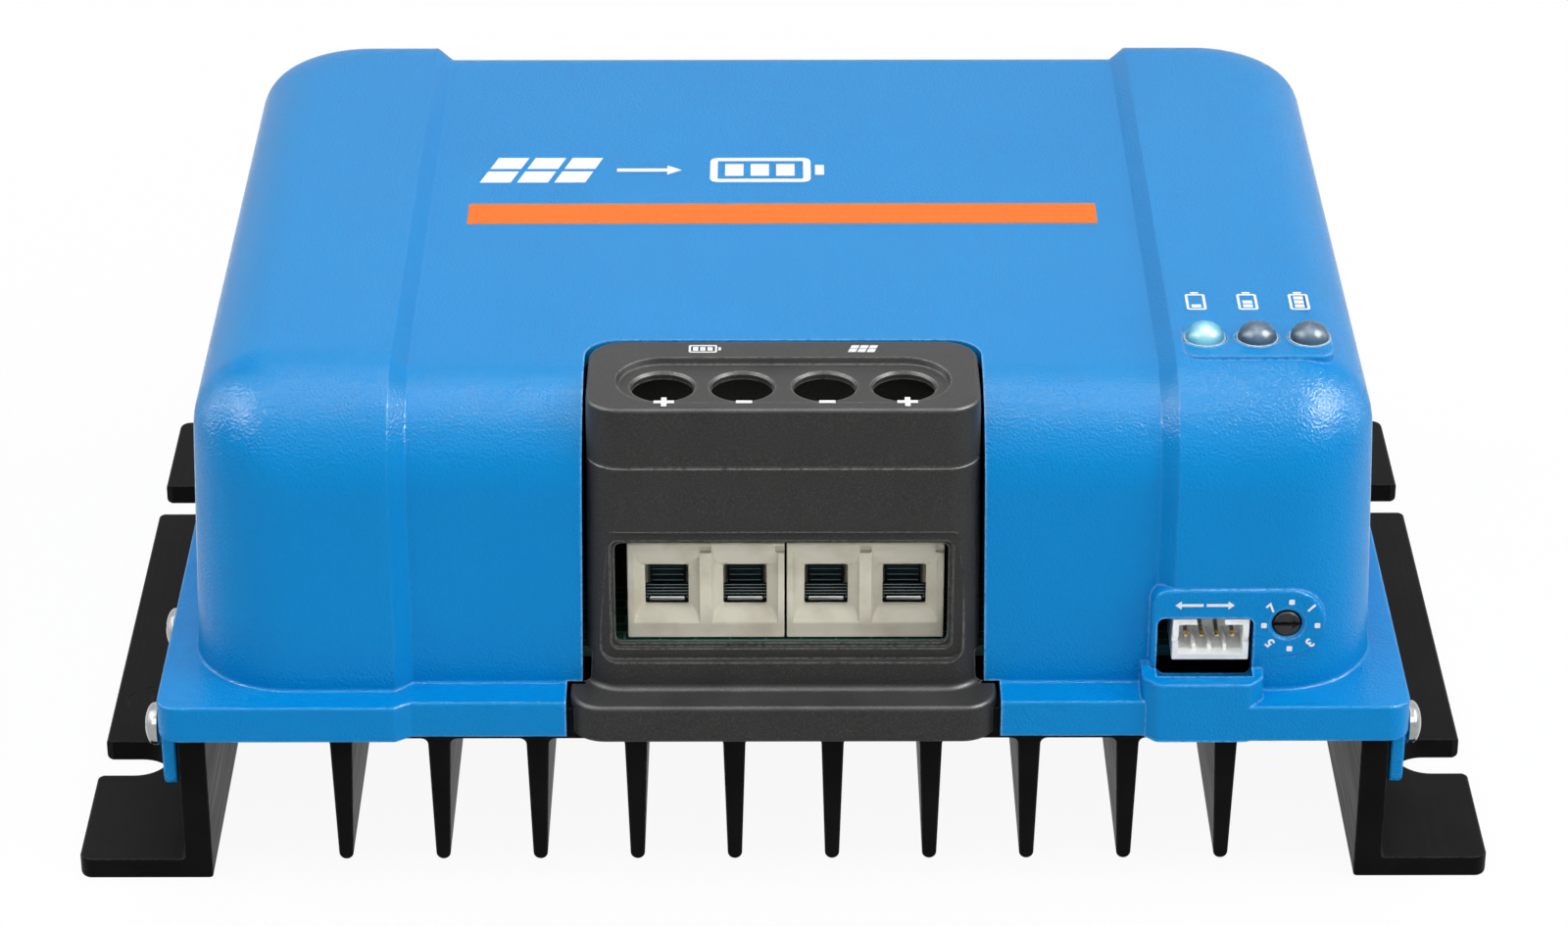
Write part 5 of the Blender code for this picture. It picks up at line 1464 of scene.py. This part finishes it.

# %% [markdown]
# ## Status lamps
# Three light guides end in domes on the lamp pad. The first one glows, and the others are dark smoky plastic.
# A dome's colour runs outwards from a spot inside it and is lighter over that spot, which is painted light in
# the dome on all three, besides the first one's own glow. A light ring at each dome's foot is a painted
# highlight. The material measures the distance from that spot in Object coordinates, which stays right from
# every side.

# %% Status lamps
LAMP_RADIUS = 2.5
LAMP_RISE = 2.1
GLOW_REACH = 3.6
# The rim is a thin light ring at each dome's foot, put there as a painted highlight.
RIM = ((2.5, 69.7), (2.78, 69.7), (2.78, 69.98), (2.72, 70.1), (2.62, 70.14), (2.5, 70.05))
# The lighter first colours of these rows are painted light in the dome, around its spot.
SMOKE_WITH_PAINTED_GLOW = ((0.105, 0.170, 0.235), (0.060, 0.105, 0.155), (0.030, 0.055, 0.090))
TEAL_WITH_PAINTED_GLOW = ((0.08, 0.20, 0.26), (0.04, 0.14, 0.20), (0.025, 0.09, 0.14))
GLOW = ((0.80, 0.84, 0.86), (0.26, 0.54, 0.63), (0.035, 0.21, 0.30), (0.01, 0.07, 0.115))
LENSES = (("lit_lens", TEAL_WITH_PAINTED_GLOW, GLOW), ("dark_lens_2", SMOKE_WITH_PAINTED_GLOW, None), ("dark_lens_3", SMOKE_WITH_PAINTED_GLOW, None))


def glow_distance(tree, x):
    """0 at the glowing spot in a dome, 1 at the reach of its glow."""
    scale = 1.0 / (GLOW_REACH * MM)
    spot = (x, LAMP_Y - 1.2, LAMP_PAD_TOP + 1.5)
    centred = {"Vector": object_place(tree), "Location": [-place * MM * scale for place in spot],
               "Scale": (scale, scale, scale)}
    return distance(tree, add_node(tree, "ShaderNodeMapping", centred).outputs["Vector"])


def make_lens(name, x, body, glow):
    """Smoky plastic that is painted lighter over its spot as light in the dome, with its own light where it
    glows.
    """
    material, tree, shader = new_finish(name, body[0], 0.24, specular=0.15)
    away = glow_distance(tree, x)
    colour_range(tree, away, shader, list(zip((0.05, 0.45, 0.95), body)))
    if glow:
        light = colour_stops(tree, away, list(zip((0.08, 0.30, 0.60, 0.95), glow)))
        tree.links.new(light, shader.inputs["Emission Color"])
        shader.inputs["Emission Strength"].default_value = 1.0
    cloud = grain(tree, 0.9, 3.0)
    rough_range(tree, cloud, shader, 0.20, 0.34)
    relief(tree, shader, [(cloud, 0.01)])
    return material


def make_lamp(number, x, material):
    profile = [(2.0, 33.6), (2.0, 62.0), (3.3, 62.0), (3.3, 63.0), (LAMP_RADIUS, 63.0)]
    profile += dome(LAMP_RADIUS, LAMP_PAD_TOP + 0.05, LAMP_RISE, 88, 14)
    lamp = new_piece("lamp_guide_%d" % number, turned(x, LAMP_Y, profile, 48), material)
    settle(lamp, "housing", ["status_lamp_%d" % number], 40)
    rim = bmesh.new()
    hoop(x, LAMP_Y, RIM, rim)
    settle(new_piece("lamp_rim_%d" % number, rim, clear_rim), "housing")


# Light grey-blue plastic for the ring, a painted highlight at the lens edge.
clear_rim = make_moulded("clear_rim", (0.20, 0.30, 0.38), (0.34, 0.46, 0.55), 0.22, 0.8, 0.5, 0.004)
for number, (x, lens) in enumerate(zip(LAMP_X, LENSES), 1):
    name, body, glow = lens
    make_lamp(number, x, make_lens(name, x, body, glow))

# %% [markdown]
# ## Printing
# An orange stripe crosses the middle panel, and white signs mark the terminals, the lamps and the dial.
# Paint could be a mask in the coat's material, but a thin slab with its own edges stays sharp and also shows
# in the exported mesh. All signs are plain ones: plus and minus, a battery, a panel, arrows and dial numbers.

# %% Paints


def make_paint(name, dark, light):
    material, tree, shader = new_finish(name, light, 0.45, specular=0.05)
    wear = grain(tree, 0.7, 4.0)
    fine = grain(tree, 0.55, 1.5)
    colour_range(tree, wear, shader, [(0.22, dark), (0.42, light)])
    rough_range(tree, fine, shader, 0.38, 0.52)
    relief(tree, shader, [(fine, 0.03)])
    return material


orange_paint = make_paint("orange_paint", (0.62, 0.112, 0.0), (0.68, 0.136, 0.001))
white_paint = make_paint("white_paint", (0.58, 0.65, 0.70), (0.71, 0.73, 0.74))
print("finishes:", orange_paint.name, white_paint.name)

# %% Slabs for the printing
PRINT_LIFT = 0.04
PRINT_SINK = 0.06
PANEL_START = -45.23
PANEL_LENGTH = 95.66


def on_panel(u, v):
    """Height of the cover's middle panel, which rises a little towards the back."""
    return BODY_TOP - PANEL_DEPTH + (PANEL_DEPTH - PANEL_DEPTH_BACK) * (v - PANEL_START) / PANEL_LENGTH


def on_level(height):
    """The height of a flat surface, the same at each place."""
    return lambda u, v: height


def slab(bm, outline, surface, axis="Z", hole=None):
    """A thin closed slab of paint on a surface, with an optional hole of the same point count."""
    sign = -1.0 if axis == "Y" else 1.0
    loops = [outline] + ([hole] if hole else [])

    def lifted(lift):
        return [[bm.verts.new(in_space(u, v, surface(u, v) + lift, axis)) for u, v in loop] for loop in loops]

    top = lifted(sign * PRINT_LIFT)
    low = lifted(-sign * PRINT_SINK)
    if hole:
        skin(bm, [top[0], top[1], low[1], low[0], top[0]])
    else:
        bm.faces.new(top[0])
        bm.faces.new(low[0][::-1])
        skin(bm, [low[0], top[0]])


def moved(outline, x, y, turn=0.0):
    c, s = math.cos(math.radians(turn)), math.sin(math.radians(turn))
    return [(x + u * c - v * s, y + u * s + v * c) for u, v in outline]


on_raised_side = on_level(BODY_TOP)
on_hood = on_level(HOOD_TOP)
on_pad = on_level(PAD_FRONT)
print("slabs ready: panel height", round(on_panel(0, 0), 2))

# %% Shapes of the signs


def battery_sign(bm, x, y, turn, height, bars, surface):
    """An outlined cell with a pole cap and some level bars."""
    wide = height * 1.75
    line = height * 0.13
    step = (wide - 3.2 * line) / 3

    def put(outline, hole=None):
        slab(bm, moved(outline, x, y, turn), surface, hole=moved(hole, x, y, turn) if hole else None)

    outer = rounded(-wide / 2, wide / 2, -height / 2, height / 2, line, 2)
    put(outer, inset(outer, line))
    put(box(wide / 2 + line * 0.6, wide / 2 + line * 1.8, -height * 0.2, height * 0.2))
    for i in range(bars):
        left = -wide / 2 + 2.0 * line + i * step
        put(box(left, left + step * 0.72, -height / 2 + 2 * line, height / 2 - 2 * line))


def panel_sign(bm, x, y, height, surface):
    """Six cells of a solar panel, leaning."""
    cell = height / 2
    gap = height * 0.05
    for column in range(3):
        for row in range(2):
            left = (column - 1.5) * cell * 1.15 + gap
            low = (row - 1) * cell + gap
            square = box(left, left + cell * 1.15 - 2 * gap, low, low + cell - 2 * gap)
            slab(bm, moved([(u + 0.28 * v, v) for u, v in square], x, y), surface)


def arrow_sign(bm, x, y, length, surface, axis="Z", turn=0.0):
    half = length / 2
    head = length * 0.22
    line = length * 0.055
    outline = [(-half, -line), (half - head, -line), (half - head, -head * 0.75), (half, 0.0)]
    outline += [(half - head, head * 0.75), (half - head, line), (-half, line)]
    slab(bm, moved(outline, x, y, turn), surface, axis)


def pole_sign(bm, x, y, plus):
    """A plus or a minus on the hood."""
    wide, tall, line = 1.3, 1.2, 0.35
    cross = [(-wide, -line), (-line, -line), (-line, -tall), (line, -tall), (line, -line), (wide, -line)]
    cross += [(-u, -v) for u, v in cross]
    slab(bm, moved(cross if plus else box(-1.03, 1.03, -line, line), x, y), on_hood)


print("signs ready: battery, panel, arrow, pole")

# %% Stripe and terminal signs
STRIPE = rounded(-43.0, 43.0, -3.9, 2.45, 0.25, 3)
POLES = (True, False, False, True)
POLE_SIGN_Y = -56.6
HOOD_SIGN_X = 10.35
HOOD_SIGN_Y = -41.7
TOP_SIGN_Y = 13.5
LAMP_SIGN_Y = -32.2


def make_stripe():
    bm = bmesh.new()
    slab(bm, STRIPE, on_panel)
    settle(new_piece("orange_stripe", bm, orange_paint), "housing")


def make_signs():
    bm = bmesh.new()
    for x, plus in zip(POLE_X, POLES):
        pole_sign(bm, x, POLE_SIGN_Y, plus)
    battery_sign(bm, -HOOD_SIGN_X, HOOD_SIGN_Y, 0.0, 2.1, 3, on_hood)
    panel_sign(bm, HOOD_SIGN_X, HOOD_SIGN_Y, 2.1, on_hood)
    panel_sign(bm, -33.5, TOP_SIGN_Y, 9.0, on_panel)
    arrow_sign(bm, -18.5, TOP_SIGN_Y, 9.0, on_panel)
    battery_sign(bm, -3.0, TOP_SIGN_Y, 0.0, 8.0, 3, on_panel)
    for bars, x in enumerate(LAMP_X, 1):
        battery_sign(bm, x - 0.3, LAMP_SIGN_Y, 90.0, 2.6, bars, on_raised_side)
    settle(new_piece("printed_signs", bm, white_paint), "housing")


make_stripe()
make_signs()

# %% [markdown]
# ## Dial and connector signs
# The selector's dial has eight places: numbers at four of them and small squares between. The numbers are
# text that is made a mesh before it is placed, and they stand on the pad, so they stay when the rotor turns.

# %% Dial and connector signs
DIAL = (65.35, 37.35)
SQUARE_AWAY = 3.45
NUMBER_AWAY = 3.6
NUMBER_SIZE = 1.75
NUMBERS = (("1", 45), ("3", -45), ("5", -135), ("7", 135))


def dial_spot(angle, away):
    a = math.radians(angle)
    return DIAL[0] + away * math.cos(a), DIAL[1] + away * math.sin(a)


def number_mesh(text):
    curve = bpy.data.curves.new("number", "FONT")
    curve.body = text
    curve.size = NUMBER_SIZE
    curve.align_x = "CENTER"
    curve.align_y = "CENTER"
    curve.offset = 0.055
    curve.extrude = (PRINT_LIFT + PRINT_SINK) / 2
    obj = bpy.data.objects.new("number", curve)
    bpy.context.scene.collection.objects.link(obj)
    bpy.context.view_layer.update()
    graph = bpy.context.evaluated_depsgraph_get()
    mesh = bpy.data.meshes.new_from_object(obj.evaluated_get(graph), depsgraph=graph)
    bpy.data.objects.remove(obj)
    return mesh


def add_number(bm, text, angle):
    """A number that stands on the pad with its foot towards the dial's middle."""
    mesh = number_mesh(text)
    stand = Matrix.Rotation(math.radians(90), 4, "X")
    turn = Matrix.Rotation(math.radians(angle - 90), 4, "Z")
    x, z = dial_spot(angle, NUMBER_AWAY)
    place = Matrix.Translation((x, PAD_FRONT + (PRINT_SINK - PRINT_LIFT) / 2, z))
    mesh.transform(place @ stand @ turn)
    bm.from_mesh(mesh)
    bpy.data.meshes.remove(mesh)


def make_dial():
    bm = bmesh.new()
    square = rounded(-0.36, 0.36, -0.36, 0.36, 0.12, 3)
    for angle in (0, 90, 180, 270):
        slab(bm, moved(square, *dial_spot(angle, SQUARE_AWAY)), on_pad, "Y")
    for text, angle in NUMBERS:
        add_number(bm, text, angle)
    bmesh.ops.remove_doubles(bm, verts=bm.verts, dist=0.001)
    for x, turn in ((56.2, 0.0), (52.2, 180.0)):
        arrow_sign(bm, x, 40.35, 3.6, on_pad, "Y", turn)
    settle(new_piece("dial_signs", bm, white_paint), "housing")


make_dial()

# %% [markdown]
# ## Pieces inside
# The board and the power parts hide under the cover, and only the board's front edge shows in the window.
# Their CAD shapes are right as they are, so they stay and only get a finish each: tracks on the board, turns
# on the winding, a sleeve on the capacitors.

# %% Pieces inside
TRACK_LENGTH = 4.6
TRACK_PITCH = 2.1
TRACK_GAP = 0.14
TURN_PITCH = 1.2


def make_board_finish():
    material, tree, shader = new_finish("solder_mask", (0.006, 0.035, 0.026), 0.35, specular=0.4)
    tracks = add_node(tree, "ShaderNodeTexBrick", {
        "Vector": object_place(tree), "Scale": 1.0, "Brick Width": TRACK_LENGTH * MM,
        "Row Height": TRACK_PITCH * MM, "Mortar Size": TRACK_GAP * MM, "Color1": (0.005, 0.032, 0.024, 1.0),
        "Color2": (0.008, 0.042, 0.030, 1.0), "Mortar": (0.06, 0.16, 0.12, 1.0)})
    tree.links.new(tracks.outputs["Color"], shader.inputs["Base Color"])
    rough_range(tree, grain(tree, 1.5), shader, 0.28, 0.42)
    relief(tree, shader, [(tracks.outputs["Fac"], 0.03)])
    return material


def make_turns():
    material, tree, shader = new_finish("enamelled_turns", (0.50, 0.18, 0.06), 0.30, metallic=0.8)
    bands = {"Vector": object_place(tree), "Scale": 0.314 / (TURN_PITCH * MM)}
    wave = add_node(tree, "ShaderNodeTexWave", bands, bands_direction="Z").outputs["Fac"]
    # The colour darkens into the grooves between the turns: painted shade.
    colour_range(tree, wave, shader, [(0.1, (0.20, 0.06, 0.02)), (0.8, (0.55, 0.22, 0.08))])
    relief(tree, shader, [(wave, 0.4)])
    return material


def paint_inside():
    ferrite = make_moulded("ground_ferrite", (0.045, 0.043, 0.042), (0.075, 0.072, 0.070), 0.55, 0.6)
    sleeve = make_moulded("capacitor_sleeve", (0.012, 0.018, 0.040), (0.024, 0.034, 0.066), 0.32, 6.0)
    silicone = make_moulded("silicone_sheet", (0.38, 0.40, 0.43), (0.48, 0.50, 0.53), 0.70, 2.0)
    phosphor = make_moulded("led_phosphor", (0.70, 0.66, 0.38), (0.85, 0.82, 0.55), 0.40, 0.5)
    finishes = {"circuit_board": make_board_finish(), "inductor_winding": make_turns(),
                "inductor_core": ferrite, "thermal_pad": silicone, "clamp_bar": zinc,
                "selector_switch": black_plastic}
    rows = (("capacitor", 3, sleeve), ("status_led", 3, phosphor), ("transistor", 4, black_plastic),
            ("standoff", 4, nickel_brass), ("board_screw", 4, zinc), ("clamp_bar_screw", 2, zinc))
    for name, count, material in rows:
        finishes.update(dict.fromkeys(numbered(name, count), material))
    for name, material in finishes.items():
        nodes[name].data.materials.clear()
        nodes[name].data.materials.append(material)
    print("finished inside:", len(finishes))


paint_inside()
